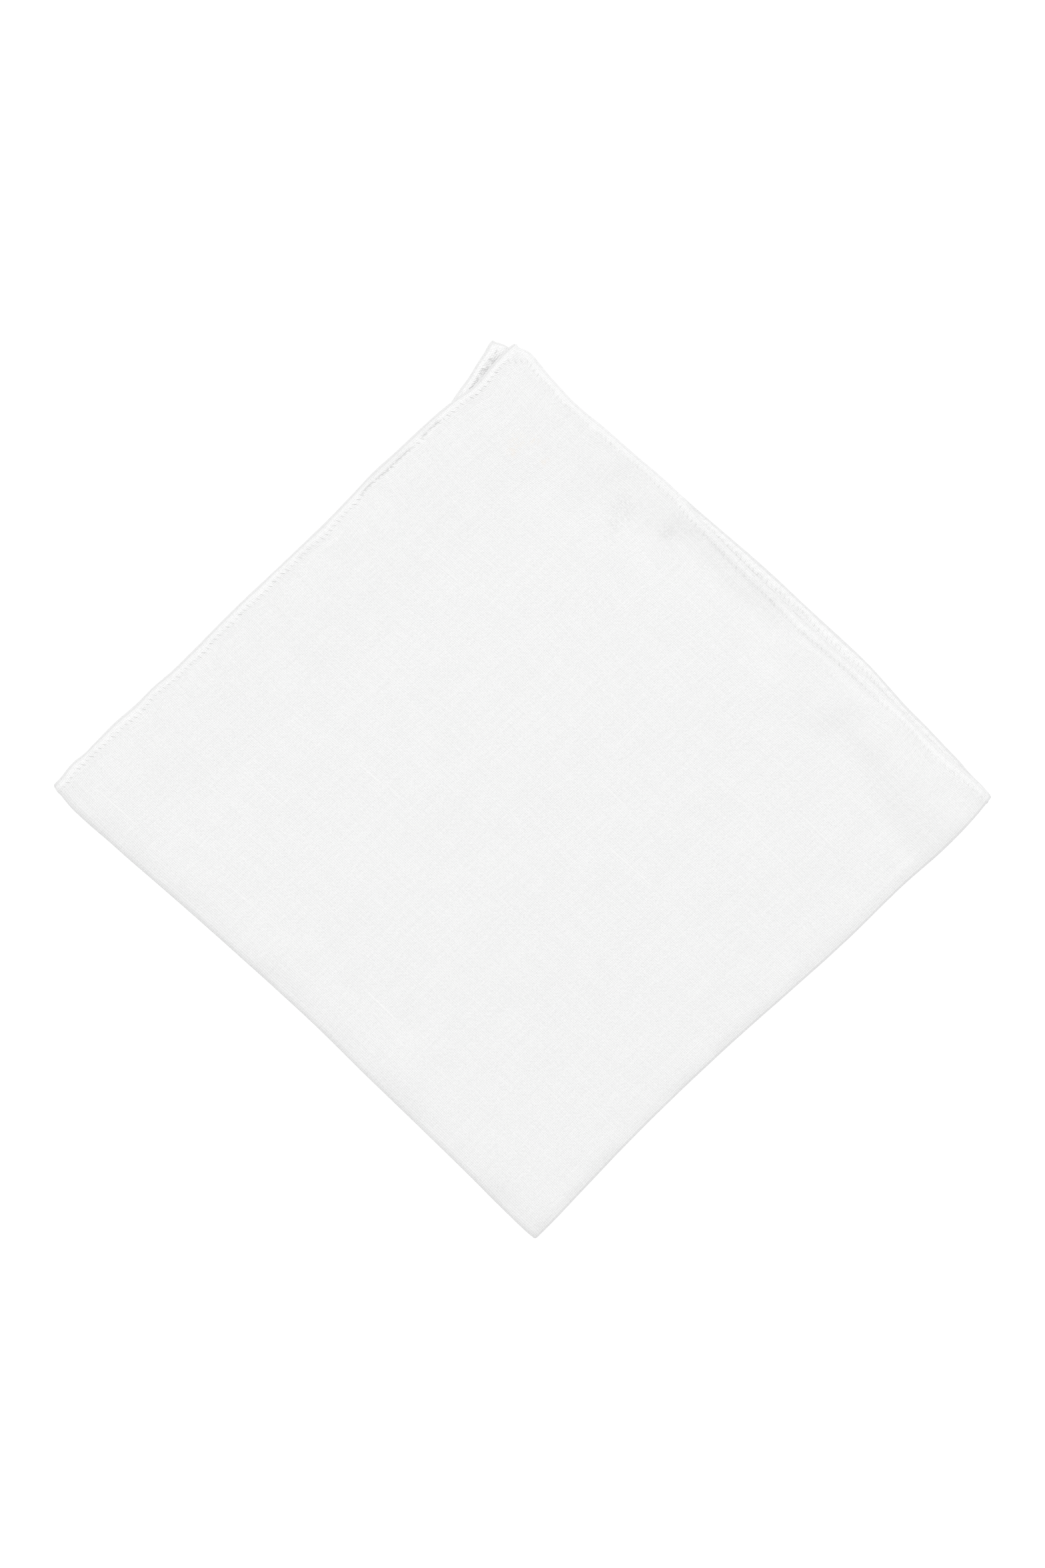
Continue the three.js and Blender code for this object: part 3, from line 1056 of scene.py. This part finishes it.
@dataclass(frozen=True)
class LinenFinish:
    """White plain-weave linen: its yarns, its stitched hem, its open corner, darker grainy patches and a
    faint stain, with painted shade in the weave's gaps, in the stitch pits, in the holes and along the rim.
    """

    flat_half: Point
    weave: Weave = Weave()
    hem: HemMarks = HemMarks()
    pulled_stitch_shade: PulledStitchShade = PulledStitchShade()
    corner: OpenCorner = OpenCorner()
    stains: GrainyMarks = GrainyMarks(STAINS, grain_scale=900, most=0.7)
    dark_grainy_patches: GrainyMarks = GrainyMarks(DARK_GRAINY_PATCHES, grain_scale=1700, most=0.62)
    colour: Colour = (0.89, 0.89, 0.89)
    # painted shade in the gaps between the yarns and in the stitch pits; the random mottle also darkens
    # towards it
    gap_shade_and_mottle_colour: Colour = (0.79, 0.79, 0.79)
    hem_colour: Colour = (0.897, 0.897, 0.897)
    # painted shade along the rim of the free edges
    rim_shade_colour: Colour = (0.765, 0.765, 0.765)
    # painted shade in the holes of the open weave and of the pulled stitches
    hole_shade_colour: Colour = (0.66, 0.66, 0.66)
    # the darker grainy patches
    grainy_patch_colour: Colour = (0.72, 0.72, 0.72)
    stain_colour: Colour = (0.87, 0.815, 0.755)
    roughness: float = 0.92
    specular: float = 0.18
    sheen: float = 0.04
    thick_edge: Point = (0.75, 1.3)
    thick_share: float = 0.3
    mottle_scale: float = 1.6
    mottle_share: float = 1.4
    # how far the stitch pits are coloured with painted shade
    pit_shade_share: float = 0.4
    cover_edge: Point = (-0.2, 1.3)
    hem_cover_edge: Point = (0.0, 0.6)
    speck_seed: float = 7.0
    speck_scale: float = 1.5
    speck_share: float = 1.2
    closed_share: float = 0.5
    opened_share: float = 1.25
    hole_edge: Point = (0.1, 0.55)
    weave_depth: float = 0.054
    mottle_depth: float = 0.1188
    pit_depth: float = 0.06
    wrinkle_depth: float = 0.03

    def holes(self, pad: FlatPad, cover: object) -> object:
        """Draws the painted shade in the holes of the open weave, where little cover and a speck meet.

        Args:
            pad: The material's node pad.
            cover: How well the yarns cover the gaps between them.

        Returns:
            The share of painted hole shade from 0 to 1.
        """
        speck = pad.noise(pad.vector(pad.u, pad.v, self.speck_seed), self.speck_scale, detail=1)
        covered = pad.math("MULTIPLY", cover, self.closed_share)
        closed = pad.math("MULTIPLY_ADD", speck, self.speck_share, covered)
        closed = pad.math("MULTIPLY", closed, -1.0)
        holes = pad.math("MULTIPLY_ADD", self.corner.draw(pad), self.opened_share, closed)
        return pad.ease(holes, *self.hole_edge)

    def material(self, uv_name: str) -> bpy.types.Material:
        """Makes the linen material.

        Args:
            uv_name: The map that holds the flat cloth's own distances, in metres.

        Returns:
            The material.
        """
        material, _, shader = new_material("white_linen")
        pad = FlatPad(material.node_tree, uv_name, self.flat_half)
        height, body = self.weave.draw(pad)
        pits, wrinkle, roll, rim = self.hem.draw(pad)
        thick = pad.ease(body, *self.thick_edge)
        mottle = pad.noise(pad.vector(pad.u, pad.v), self.mottle_scale, detail=3)

        # Painted shade: the weave's low places and the stitch pits are coloured towards the gap shade; the
        # yarns' thickness and the mottle add random tone
        cover = pad.math("MULTIPLY_ADD", thick, self.thick_share, height)
        cover = pad.math("SUBTRACT", cover, self.mottle_share / 2)
        cover = pad.math("MULTIPLY_ADD", mottle, self.mottle_share, cover)
        cover = pad.math("MULTIPLY_ADD", pits, -self.pit_shade_share, cover)
        holes = self.holes(pad, cover)
        cover = pad.ease(cover, *self.cover_edge)
        tone = pad.blend(cover, self.gap_shade_and_mottle_colour, self.colour)
        layers = (
            (pad.math("MULTIPLY", roll, pad.ease(cover, *self.hem_cover_edge)), self.hem_colour),
            # painted shade along the rim
            (rim, self.rim_shade_colour),
            # painted shade in the open corner's holes and in the pulled stitches' holes
            (holes, self.hole_shade_colour),
            (self.pulled_stitch_shade.draw(pad), self.hole_shade_colour),
            (self.stains.draw(pad), self.stain_colour),
            (self.dark_grainy_patches.draw(pad), self.grainy_patch_colour),
        )
        for share, colour in layers:
            tone = pad.blend(share, tone, colour)
        pad.feed(shader.inputs["Base Color"], tone)

        relief = pad.math("MULTIPLY", height, self.weave_depth)
        depths = (
            (thick, self.weave_depth * self.thick_share),
            (mottle, self.mottle_depth),
            (pits, -self.pit_depth),
            (wrinkle, self.wrinkle_depth),
        )
        for share, depth in depths:
            relief = pad.math("MULTIPLY_ADD", share, depth, relief)
        bump = pad.add("ShaderNodeBump", {"Height": relief, "Distance": MM, "Strength": 1.0})
        pad.feed(shader.inputs["Normal"], bump.outputs[0])
        shader.inputs["Roughness"].default_value = self.roughness
        shader.inputs["Specular IOR Level"].default_value = self.specular
        shader.inputs["Sheen Weight"].default_value = self.sheen
        return material


@dataclass(frozen=True)
class ThreadFinish:
    """White linen thread: a fine twist along it, read from its own place."""

    name: str
    colour: Colour = (0.885, 0.885, 0.882)
    dark_colour: Colour = (0.84, 0.84, 0.835)
    roughness: float = 0.85
    specular: float = 0.2
    fibre_scale: float = 5200
    fibre_depth: float = 0.03

    def material(self) -> bpy.types.Material:
        """Makes the thread material."""
        material, pad, shader = new_material(self.name)
        place = pad.add("ShaderNodeTexCoord").outputs["Object"]
        fibre = pad.noise(place, self.fibre_scale, detail=3)
        pad.feed(shader.inputs["Base Color"], pad.blend(fibre, self.dark_colour, self.colour))
        depth = self.fibre_depth * MM
        bump = pad.add("ShaderNodeBump", {"Height": fibre, "Distance": depth, "Strength": 1.0})
        pad.feed(shader.inputs["Normal"], bump.outputs[0])
        shader.inputs["Roughness"].default_value = self.roughness
        shader.inputs["Specular IOR Level"].default_value = self.specular
        return material


@dataclass(frozen=True)
class Linen:
    """The cloth itself: one closed sheet, folded into its pile."""

    pile: Pile
    grid: ClothGrid
    name: str = "linen_cloth"
    uv_name: str = "flat_cloth"
    bake_uv_name: str = "OFBake"
    bake_margin: float = 0.02

    def grid_points(self) -> tuple[np.ndarray, np.ndarray, tuple[int, int]]:
        """Lays the grid out flat.

        Returns:
            Each point's distance from the first and from the second fold line, and the rows each way.
        """
        first = self.grid.rows(self.pile.first_turn, self.pile.half_width)
        second = self.grid.rows(self.pile.second_turn, self.pile.half_length)
        across, along = np.meshgrid(first, second, indexing="ij")
        return across.ravel(), along.ravel(), (len(first), len(second))

    def faces(self, rows: tuple[int, int]) -> np.ndarray:
        """Joins the points: the outer face, the inner face turned over, and the rim between them.

        Args:
            rows: The number of rows each way.

        Returns:
            The four point numbers of each face.
        """
        count = rows[0] * rows[1]
        number = np.arange(count).reshape(rows)
        corners = (number[:-1, :-1], number[:-1, 1:], number[1:, 1:], number[1:, :-1])
        outer = np.stack([corner.ravel() for corner in corners], 1)
        inner = outer[:, ::-1] + count
        rim = np.concatenate((number[0, :-1], number[:-1, -1], number[-1, :0:-1], number[:0:-1, 0]))
        ahead = np.roll(rim, -1)
        sides = np.stack((rim + count, ahead + count, ahead, rim), 1)
        return np.concatenate((outer, inner, sides))

    def add_maps(self, mesh: bpy.types.Mesh, first: np.ndarray, second: np.ndarray, faces: int) -> None:
        """Adds the map of the flat cloth, and a map with each face in its own half for baking.

        Args:
            mesh: The cloth's mesh.
            first: Each grid point's distance from the first fold line.
            second: Each grid point's distance from the second fold line.
            faces: The number of faces on one side of the sheet.
        """
        loops = np.zeros(len(mesh.loops), np.int32)
        mesh.loops.foreach_get("vertex_index", loops)
        point, inner = loops % len(first), loops >= len(first)
        flat = np.column_stack((second[point], first[point])) * MM
        layer = mesh.uv_layers.new(name=self.uv_name)
        layer.uv.foreach_set("vector", flat.astype(np.float32).ravel())

        width, length = self.pile.flat_size
        shares = flat / (length, width) * (1 - 2 * self.bake_margin) + 0.5
        on_rim = np.arange(len(loops)) >= len(Face) * FACE_CORNERS * faces
        moved = np.where((on_rim & inner)[:, None], np.sign(shares - 0.5) * self.bake_margin / 4, 0)
        shares = np.clip(shares + moved, 0, 1)
        shares[:, 0] = shares[:, 0] / 2 + np.where(inner & ~on_rim, 0.5, 0)
        bake = mesh.uv_layers.new(name=self.bake_uv_name)
        bake.uv.foreach_set("vector", shares.astype(np.float32).ravel())

    def build(self) -> tuple[bpy.types.Object, Weaver]:
        """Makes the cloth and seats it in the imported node's box.

        Returns:
            The cloth, and the weaver that seats its other pieces the same way.
        """
        first, second, rows = self.grid_points()
        sides = [self.pile.folded(first, second, face) for face in Face]
        points = np.concatenate(sides)
        low, high = (np.array(corner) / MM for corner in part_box(CLOTH_NODE))
        shift = (low + high - points.min(0) - points.max(0)) / 2
        shift[2] = low[2] - points[:, 2].min()
        weaver = Weaver(shift)
        faces = self.faces(rows)
        cloth = weaver.piece(self.name, points, faces.tolist())
        self.add_maps(cloth.data, first, second, (rows[0] - 1) * (rows[1] - 1))
        cloth.data.shade_smooth()
        return cloth, weaver

    def dress(self, cloth: bpy.types.Object) -> None:
        """Gives the cloth its finish and its place among the bodies."""
        finish = LinenFinish(flat_half=(self.pile.half_width, self.pile.half_length))
        cloth.data.materials.append(finish.material(self.uv_name))
        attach(cloth, BODY)
        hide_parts(CLOTH_NODE)


@dataclass(frozen=True)
class SurfaceLine:
    """A line drawn on the flat cloth, and found again on the folded one with the way up there."""

    pile: Pile
    face: Face
    step: float = 0.02

    def found(self, first: np.ndarray, second: np.ndarray) -> tuple[np.ndarray, np.ndarray]:
        """Finds a line's points and normals on the folded cloth.

        Args:
            first: Distances from the first fold line.
            second: Distances from the second fold line.

        Returns:
            The points and the outward normals.
        """
        fold, face, step = self.pile.folded, self.face, self.step
        across = fold(first + step, second, face) - fold(first - step, second, face)
        along = fold(first, second + step, face) - fold(first, second - step, face)
        normal = np.cross(along, across) * face.value
        return fold(first, second, face), normal / np.linalg.norm(normal, axis=1, keepdims=True)


class ThreadTree:
    """A Geometry Nodes tree that lays threads along a piece's own lines."""

    def __init__(self, name: str, sizes: dict[str, float]) -> None:
        """Starts the tree.

        Args:
            name: The tree's name.
            sizes: Its named inputs, in metres or as plain numbers, with their values.
        """
        self.sizes = sizes
        self.tree = bpy.data.node_groups.new(name, "GeometryNodeTree")
        sockets = self.tree.interface
        sockets.new_socket("Geometry", in_out="INPUT", socket_type="NodeSocketGeometry")
        sockets.new_socket("Geometry", in_out="OUTPUT", socket_type="NodeSocketGeometry")
        self.keys = {
            size: sockets.new_socket(size, in_out="INPUT", socket_type="NodeSocketFloat").identifier
            for size in sizes
        }
        self.pad = NodePad(self.tree)
        self.inputs = self.pad.add("NodeGroupInput").outputs

    def close(self, geometry: object, material: bpy.types.Material) -> None:
        """Ends the tree in Realize Instances and Set Material.

        Args:
            geometry: What the tree has made.
            material: The material it gets.
        """
        real = self.pad.add("GeometryNodeRealizeInstances", {"Geometry": geometry}).outputs[0]
        dressed = self.pad.add("GeometryNodeSetMaterial", {"Geometry": real, "Material": material})
        self.pad.add("NodeGroupOutput", {0: dressed.outputs[0]})

    def apply(self, piece: bpy.types.Object) -> None:
        """Runs the tree on a piece and keeps its result as the piece's plain mesh.

        Args:
            piece: The piece, whose mesh holds the lines.
        """
        modifier = piece.modifiers.new(self.tree.name, "NODES")
        modifier.node_group = self.tree
        for size, key in self.keys.items():
            modifier[key] = self.sizes[size]
        bpy.context.view_layer.update()
        shown = piece.evaluated_get(bpy.context.evaluated_depsgraph_get())
        lines, result = piece.data, bpy.data.meshes.new_from_object(shown)
        piece.modifiers.remove(modifier)
        piece.data = result
        bpy.data.meshes.remove(lines)
        result.name = piece.name
        result.shade_smooth()


def keep_normals(mesh: bpy.types.Mesh, normals: np.ndarray) -> None:
    """Stores the way up at each point of a line, for its Geometry Nodes tree.

    Args:
        mesh: The mesh that holds the lines.
        normals: The way up at each of its points.
    """
    up = mesh.attributes.new("up", "FLOAT_VECTOR", "POINT")
    up.data.foreach_set("vector", normals.astype(np.float32).ravel())


@dataclass(frozen=True)
class HemStitching:
    """The small slanting stitches that hold the rolled hem, round all four sides on both faces."""

    pile: Pile
    name: str = "hem_stitches"
    pitch: float = 1.5
    inward: float = 2.1
    stitch: float = 1.1
    thread: float = 0.16
    lean: float = 0.55
    sweep: float = 0.9
    path_step: float = 0.5
    corner: float = 3.0
    lean_spread: Point = (0.6, 1.4)
    lean_seed: int = 7
    size_spread: Point = (0.75, 1.15)
    size_seed: int = 19
    arc_points: int = 7
    thread_sides: int = 5

    def path(self) -> tuple[np.ndarray, np.ndarray]:
        """Draws the stitched line round the flat cloth.

        Returns:
            Its distances from the first and from the second fold line, as a closed line.
        """
        wide, long = self.pile.half_width - self.inward, self.pile.half_length - self.inward
        corners = ((wide, long), (-wide, long), (-wide, -long), (wide, -long))
        first: list[np.ndarray] = []
        second: list[np.ndarray] = []
        for (x0, y0), (x1, y1) in zip(corners, corners[1:] + corners[:1]):
            length = math.dist((x0, y0), (x1, y1))
            share = np.arange(self.corner, length - self.corner, self.path_step) / length
            first.append(x0 + (x1 - x0) * share)
            second.append(y0 + (y1 - y0) * share)
        return np.concatenate(first), np.concatenate(second)

    def tree(self, material: bpy.types.Material) -> ThreadTree:
        """Makes the tree: one bent thread for each pitch of the line, leaning over the roll."""
        radius = self.stitch / 2 / math.sin(self.sweep / 2)
        sizes = {
            "Pitch": self.pitch * MM,
            "Bend radius": radius * MM,
            "Sweep": self.sweep,
            "Thread radius": self.thread / 2 * MM,
            "Lean": self.lean,
            "Sink": radius * math.cos(self.sweep / 2) * MM,
        }
        made = ThreadTree("hem_stitch_tree", sizes)
        pad, inputs = made.pad, made.inputs
        line = pad.add("GeometryNodeMeshToCurve", {"Mesh": inputs["Geometry"]}).outputs[0]
        points = pad.add("GeometryNodeCurveToPoints", {"Curve": line}, mode="LENGTH")
        pad.feed(points.inputs["Length"], inputs["Pitch"])
        up = pad.add("GeometryNodeInputNamedAttribute", {"Name": "up"}, data_type="FLOAT_VECTOR")
        turned = pad.add(
            "FunctionNodeAxesToRotation",
            {"Primary Axis": up.outputs[0], "Secondary Axis": points.outputs["Tangent"]},
            primary_axis="Z",
            secondary_axis="Y",
        )
        lean = pad.math("MULTIPLY", inputs["Lean"], self.drawn(pad, self.lean_seed, self.lean_spread))
        euler = pad.add("FunctionNodeEulerToRotation", {0: pad.vector(0.0, 0.0, lean)})
        leaned = pad.add(
            "FunctionNodeRotateRotation",
            {"Rotation": turned.outputs[0], "Rotate By": euler.outputs[0]},
            rotation_space="LOCAL",
        )
        arc = pad.add(
            "GeometryNodeCurveArc",
            {
                "Resolution": self.arc_points,
                "Radius": inputs["Bend radius"],
                "Start Angle": pad.math("DIVIDE", pad.math("SUBTRACT", math.pi, inputs["Sweep"]), 2.0),
                "Sweep Angle": inputs["Sweep"],
            },
        ).outputs[0]
        stood = pad.add("GeometryNodeTransform", {"Geometry": arc, "Rotation": (math.pi / 2, 0, 0)})
        sunk = pad.vector(0.0, 0.0, pad.math("MULTIPLY", inputs["Sink"], -1.0))
        placed = pad.add("GeometryNodeTransform", {"Geometry": stood.outputs[0], "Translation": sunk})
        ring = pad.add(
            "GeometryNodeCurvePrimitiveCircle",
            {"Resolution": self.thread_sides, "Radius": inputs["Thread radius"]},
        )
        tube = pad.add(
            "GeometryNodeCurveToMesh",
            {"Curve": placed.outputs[0], "Profile Curve": ring.outputs[0], "Fill Caps": True},
        ).outputs[0]
        scale = self.drawn(pad, self.size_seed, self.size_spread)
        stitches = pad.add(
            "GeometryNodeInstanceOnPoints",
            {
                "Points": points.outputs["Points"],
                "Instance": tube,
                "Rotation": leaned.outputs[0],
                "Scale": pad.vector(scale, scale, scale),
            },
        ).outputs[0]
        made.close(stitches, material)
        return made

    def drawn(self, pad: NodePad, seed: int, limits: Point) -> object:
        """Draws a number for each stitch.

        Args:
            pad: The tree's node pad.
            seed: What sets this draw apart.
            limits: The least and the greatest number.

        Returns:
            The drawn number.
        """
        low, high = limits
        node = pad.add("FunctionNodeRandomValue", {"Seed": seed}, data_type="FLOAT")
        share = next(socket for socket in node.outputs if socket.enabled)
        return pad.math("MULTIPLY_ADD", share, high - low, low)

    def build(self, weaver: Weaver) -> bpy.types.Object:
        """Makes the stitches.

        Args:
            weaver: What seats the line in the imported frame.

        Returns:
            The piece.
        """
        first, second = self.path()
        points, normals = [], []
        for face in Face:
            found, up = SurfaceLine(self.pile, face).found(first, second)
            points.append(found)
            normals.append(up)
        count = len(first)
        ring = [(i, (i + 1) % count) for i in range(count)]
        edges = ring + [(a + count, b + count) for a, b in ring]
        piece = weaver.piece(self.name, np.concatenate(points), [], edges)
        keep_normals(piece.data, np.concatenate(normals))
        self.tree(ThreadFinish("hem_thread").material()).apply(piece)
        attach(piece, BODY)
        return piece


@dataclass(frozen=True)
class Slub:
    """One thick place of a yarn: where it starts on the front layer, which way it runs and how far."""

    from_first: float
    from_second: float
    yarn: Yarn
    length: float
    thickness: float


@dataclass(frozen=True)
class Slubs:
    """The thick places of the yarns that stand out of the weave."""

    pile: Pile
    name: str = "slubs"
    drawn: int = 90
    seed: int = 41
    warp_share: float = 0.4
    lengths: Point = (4, 16)
    thicknesses: Point = (0.2, 0.42)
    from_folds: float = 6
    from_hems: float = 26
    points_each: int = 12
    tip: float = 0.12
    taper: float = 0.7
    sides: int = 6
    sunk: float = 0.68
    placed: tuple[Slub, ...] = (
        Slub(from_first=41.9, from_second=85.5, yarn=Yarn.WEFT, length=18.7, thickness=0.58),
        Slub(from_first=18.5, from_second=125, yarn=Yarn.WEFT, length=12.6, thickness=0.51),
        Slub(from_first=144.4, from_second=7.6, yarn=Yarn.WEFT, length=15.1, thickness=0.54),
        Slub(from_first=108.8, from_second=56.4, yarn=Yarn.WEFT, length=8.4, thickness=0.44),
        Slub(from_first=99.5, from_second=12.5, yarn=Yarn.WEFT, length=13.2, thickness=0.54),
        Slub(from_first=62.9, from_second=15.5, yarn=Yarn.WEFT, length=13.2, thickness=0.51),
        Slub(from_first=131, from_second=107.8, yarn=Yarn.WEFT, length=13.2, thickness=0.48),
        Slub(from_first=55.4, from_second=31.2, yarn=Yarn.WARP, length=10.9, thickness=0.44),
        Slub(from_first=106, from_second=31.6, yarn=Yarn.WARP, length=8.4, thickness=0.41),
        Slub(from_first=76.8, from_second=110, yarn=Yarn.WARP, length=12, thickness=0.44),
    )

    def all(self) -> list[tuple[Slub, int, int]]:
        """Lists the placed slubs on the front layer and the drawn ones over the whole cloth.

        Returns:
            Each slub, and the sides of the two fold lines on which it lies.
        """
        listed = [(slub, 1, 1) for slub in self.placed]
        draw = np.random.default_rng(self.seed)
        for _ in range(self.drawn):
            yarn = Yarn.WARP if draw.random() < self.warp_share else Yarn.WEFT
            length = draw.uniform(*self.lengths)
            slub = Slub(
                from_first=draw.uniform(self.from_folds, self.pile.half_width - self.from_hems),
                from_second=draw.uniform(self.from_folds, self.pile.half_length - self.from_hems),
                yarn=yarn,
                length=length,
                thickness=draw.uniform(*self.thicknesses),
            )
            first_side, second_side = draw.choice((1, 1, -1), 2)
            listed.append((slub, int(first_side), int(second_side)))
        return listed

    def tree(self, material: bpy.types.Material) -> ThreadTree:
        """Makes the tree: a round thread along each line, thickest in its middle."""
        made = ThreadTree("slub_tree", {"Sunk": self.sunk})
        pad, inputs = made.pad, made.inputs
        line = pad.add("GeometryNodeMeshToCurve", {"Mesh": inputs["Geometry"]}).outputs[0]
        up = pad.add("GeometryNodeInputNamedAttribute", {"Name": "up"}, data_type="FLOAT_VECTOR")
        body = pad.add("GeometryNodeInputNamedAttribute", {"Name": "radius_m"}, data_type="FLOAT")
        radius = next(socket for socket in body.outputs if socket.enabled)
        depth = pad.math("MULTIPLY", pad.math("MULTIPLY", radius, inputs["Sunk"]), -1.0)
        down = pad.add("ShaderNodeVectorMath", {0: up.outputs[0], "Scale": depth}, operation="SCALE")
        set_in = pad.add("GeometryNodeSetPosition", {"Geometry": line, "Offset": down.outputs[0]})
        thick = pad.add("GeometryNodeSetCurveRadius", {"Curve": set_in.outputs[0], "Radius": radius})
        ring = pad.add("GeometryNodeCurvePrimitiveCircle", {"Resolution": self.sides, "Radius": 1.0})
        grown = pad.add("GeometryNodeInputRadius").outputs[0]
        tube = pad.add(
            "GeometryNodeCurveToMesh",
            {"Curve": thick.outputs[0], "Profile Curve": ring.outputs[0], "Fill Caps": True},
        )
        pad.feed(tube.inputs["Scale"], grown)
        made.close(tube.outputs[0], material)
        return made

    def build(self, weaver: Weaver) -> bpy.types.Object:
        """Makes the slubs.

        Args:
            weaver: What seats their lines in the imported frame.

        Returns:
            The piece.
        """
        points, normals, radii, edges = [], [], [], []
        share = np.linspace(0, 1, self.points_each)
        for slub, first_side, second_side in self.all():
            run = share * slub.length
            along_first = slub.yarn is Yarn.WEFT
            first = slub.from_first + (run if along_first else 0 * run)
            second = slub.from_second + (0 * run if along_first else run)
            face = Face.OUTER if first_side > 0 else Face.INNER
            found, up = SurfaceLine(self.pile, face).found(first * first_side, second * second_side)
            start = sum(len(part) for part in points)
            edges += [(start + i, start + i + 1) for i in range(self.points_each - 1)]
            points.append(found)
            normals.append(up)
            swell = self.tip + (1 - self.tip) * np.sin(math.pi * share) ** self.taper
            radii.append(slub.thickness / 2 * MM * swell)
        piece = weaver.piece(self.name, np.concatenate(points), [], edges)
        keep_normals(piece.data, np.concatenate(normals))
        radius = piece.data.attributes.new("radius_m", "FLOAT", "POINT")
        radius.data.foreach_set("value", np.concatenate(radii).astype(np.float32))
        self.tree(ThreadFinish("slub_yarn").material()).apply(piece)
        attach(piece, BODY)
        return piece


@dataclass(frozen=True)
class FloorFinish:
    """Plain pale floor, a little brighter than the cloth, with a trace of grain."""

    colour: Colour = (0.27, 0.27, 0.27)
    grain_colour: Colour = (0.25, 0.25, 0.25)
    grain_scale: float = 40
    roughness: float = 0.9
    glow: float = 0.85

    def material(self) -> bpy.types.Material:
        """Makes the floor material."""
        material, pad, shader = new_material("pale_floor")
        place = pad.add("ShaderNodeTexCoord").outputs["Object"]
        tone = pad.blend(pad.noise(place, self.grain_scale), self.grain_colour, self.colour)
        pad.feed(shader.inputs["Base Color"], tone)
        shader.inputs["Roughness"].default_value = self.roughness
        shader.inputs["Specular IOR Level"].default_value = 0.0
        shader.inputs["Emission Color"].default_value = (1, 1, 1, 1)
        shader.inputs["Emission Strength"].default_value = self.glow
        return material


@dataclass(frozen=True)
class Studio:
    """A pale floor, soft light mostly from the far side, and a camera straight above the cloth."""

    floor_size: float = 8
    camera_height: float = 1.5
    picture_height: float = 0.3986
    picture_shift: float = 0.00144
    cloth_height: float = 0.004
    film: float = 36
    key_size: float = 2.6
    key_place: tuple[float, float, float] = (-0.5, 2.65, 4.24)
    key_power: float = 108.8
    sky: float = 0.775

    def add_floor(self) -> None:
        """Lays the floor."""
        half = self.floor_size / 2
        mesh = bpy.data.meshes.new("floor")
        corners = [(-half, -half, 0), (half, -half, 0), (half, half, 0), (-half, half, 0)]
        mesh.from_pydata(corners, [], [(0, 1, 2, 3)])
        mesh.materials.append(FloorFinish().material())
        floor = bpy.data.objects.new("floor", mesh)
        bpy.context.scene.collection.objects.link(floor)

    def add_lights(self) -> None:
        """Sets the soft key light and the even light all round."""
        data = bpy.data.lights.new("key_light", "AREA")
        data.shape, data.size, data.energy = "SQUARE", self.key_size, self.key_power
        key = bpy.data.objects.new("key_light", data)
        key.location = self.key_place
        key.rotation_euler = Vector(self.key_place).to_track_quat("Z", "Y").to_euler()
        bpy.context.scene.collection.objects.link(key)
        world = bpy.data.worlds.new("studio")
        world.use_nodes = True
        sky = world.node_tree.nodes["Background"].inputs
        sky["Color"].default_value, sky["Strength"].default_value = (1, 1, 1, 1), self.sky
        bpy.context.scene.world = world
        bpy.context.scene.view_settings.view_transform = "Standard"

    def add_camera(self) -> None:
        """Hangs the camera straight above, framed by the picture's real height."""
        data = bpy.data.cameras.new("camera")
        data.sensor_fit = "VERTICAL"
        data.sensor_width = data.sensor_height = self.film
        data.lens = self.film * self.camera_height / self.picture_height
        camera = bpy.data.objects.new("camera", data)
        camera.location = (0, self.picture_shift, self.camera_height + self.cloth_height)
        bpy.context.scene.collection.objects.link(camera)
        bpy.context.scene.camera = camera

    def build(self) -> None:
        """Sets up the studio."""
        self.add_floor()
        self.add_lights()
        self.add_camera()


def report(piece: bpy.types.Object) -> None:
    """Logs a finished piece's name and its number of triangles."""
    piece.data.calc_loop_triangles()
    log.info("%s: %d triangles", piece.name, len(piece.data.loop_triangles))


def main() -> None:
    """Builds the cloth, its hem stitches and its slubs, and sets up the studio."""
    logging.basicConfig(level=logging.INFO, format="%(name)s: %(message)s")
    pile = Pile()
    linen = Linen(pile, ClothGrid(pile))
    cloth, weaver = linen.build()
    linen.dress(cloth)
    report(cloth)
    stitches = HemStitching(pile).build(weaver)
    report(stitches)
    slubs = Slubs(pile).build(weaver)
    report(slubs)
    Studio().build()


if __name__ == "__main__":
    main()
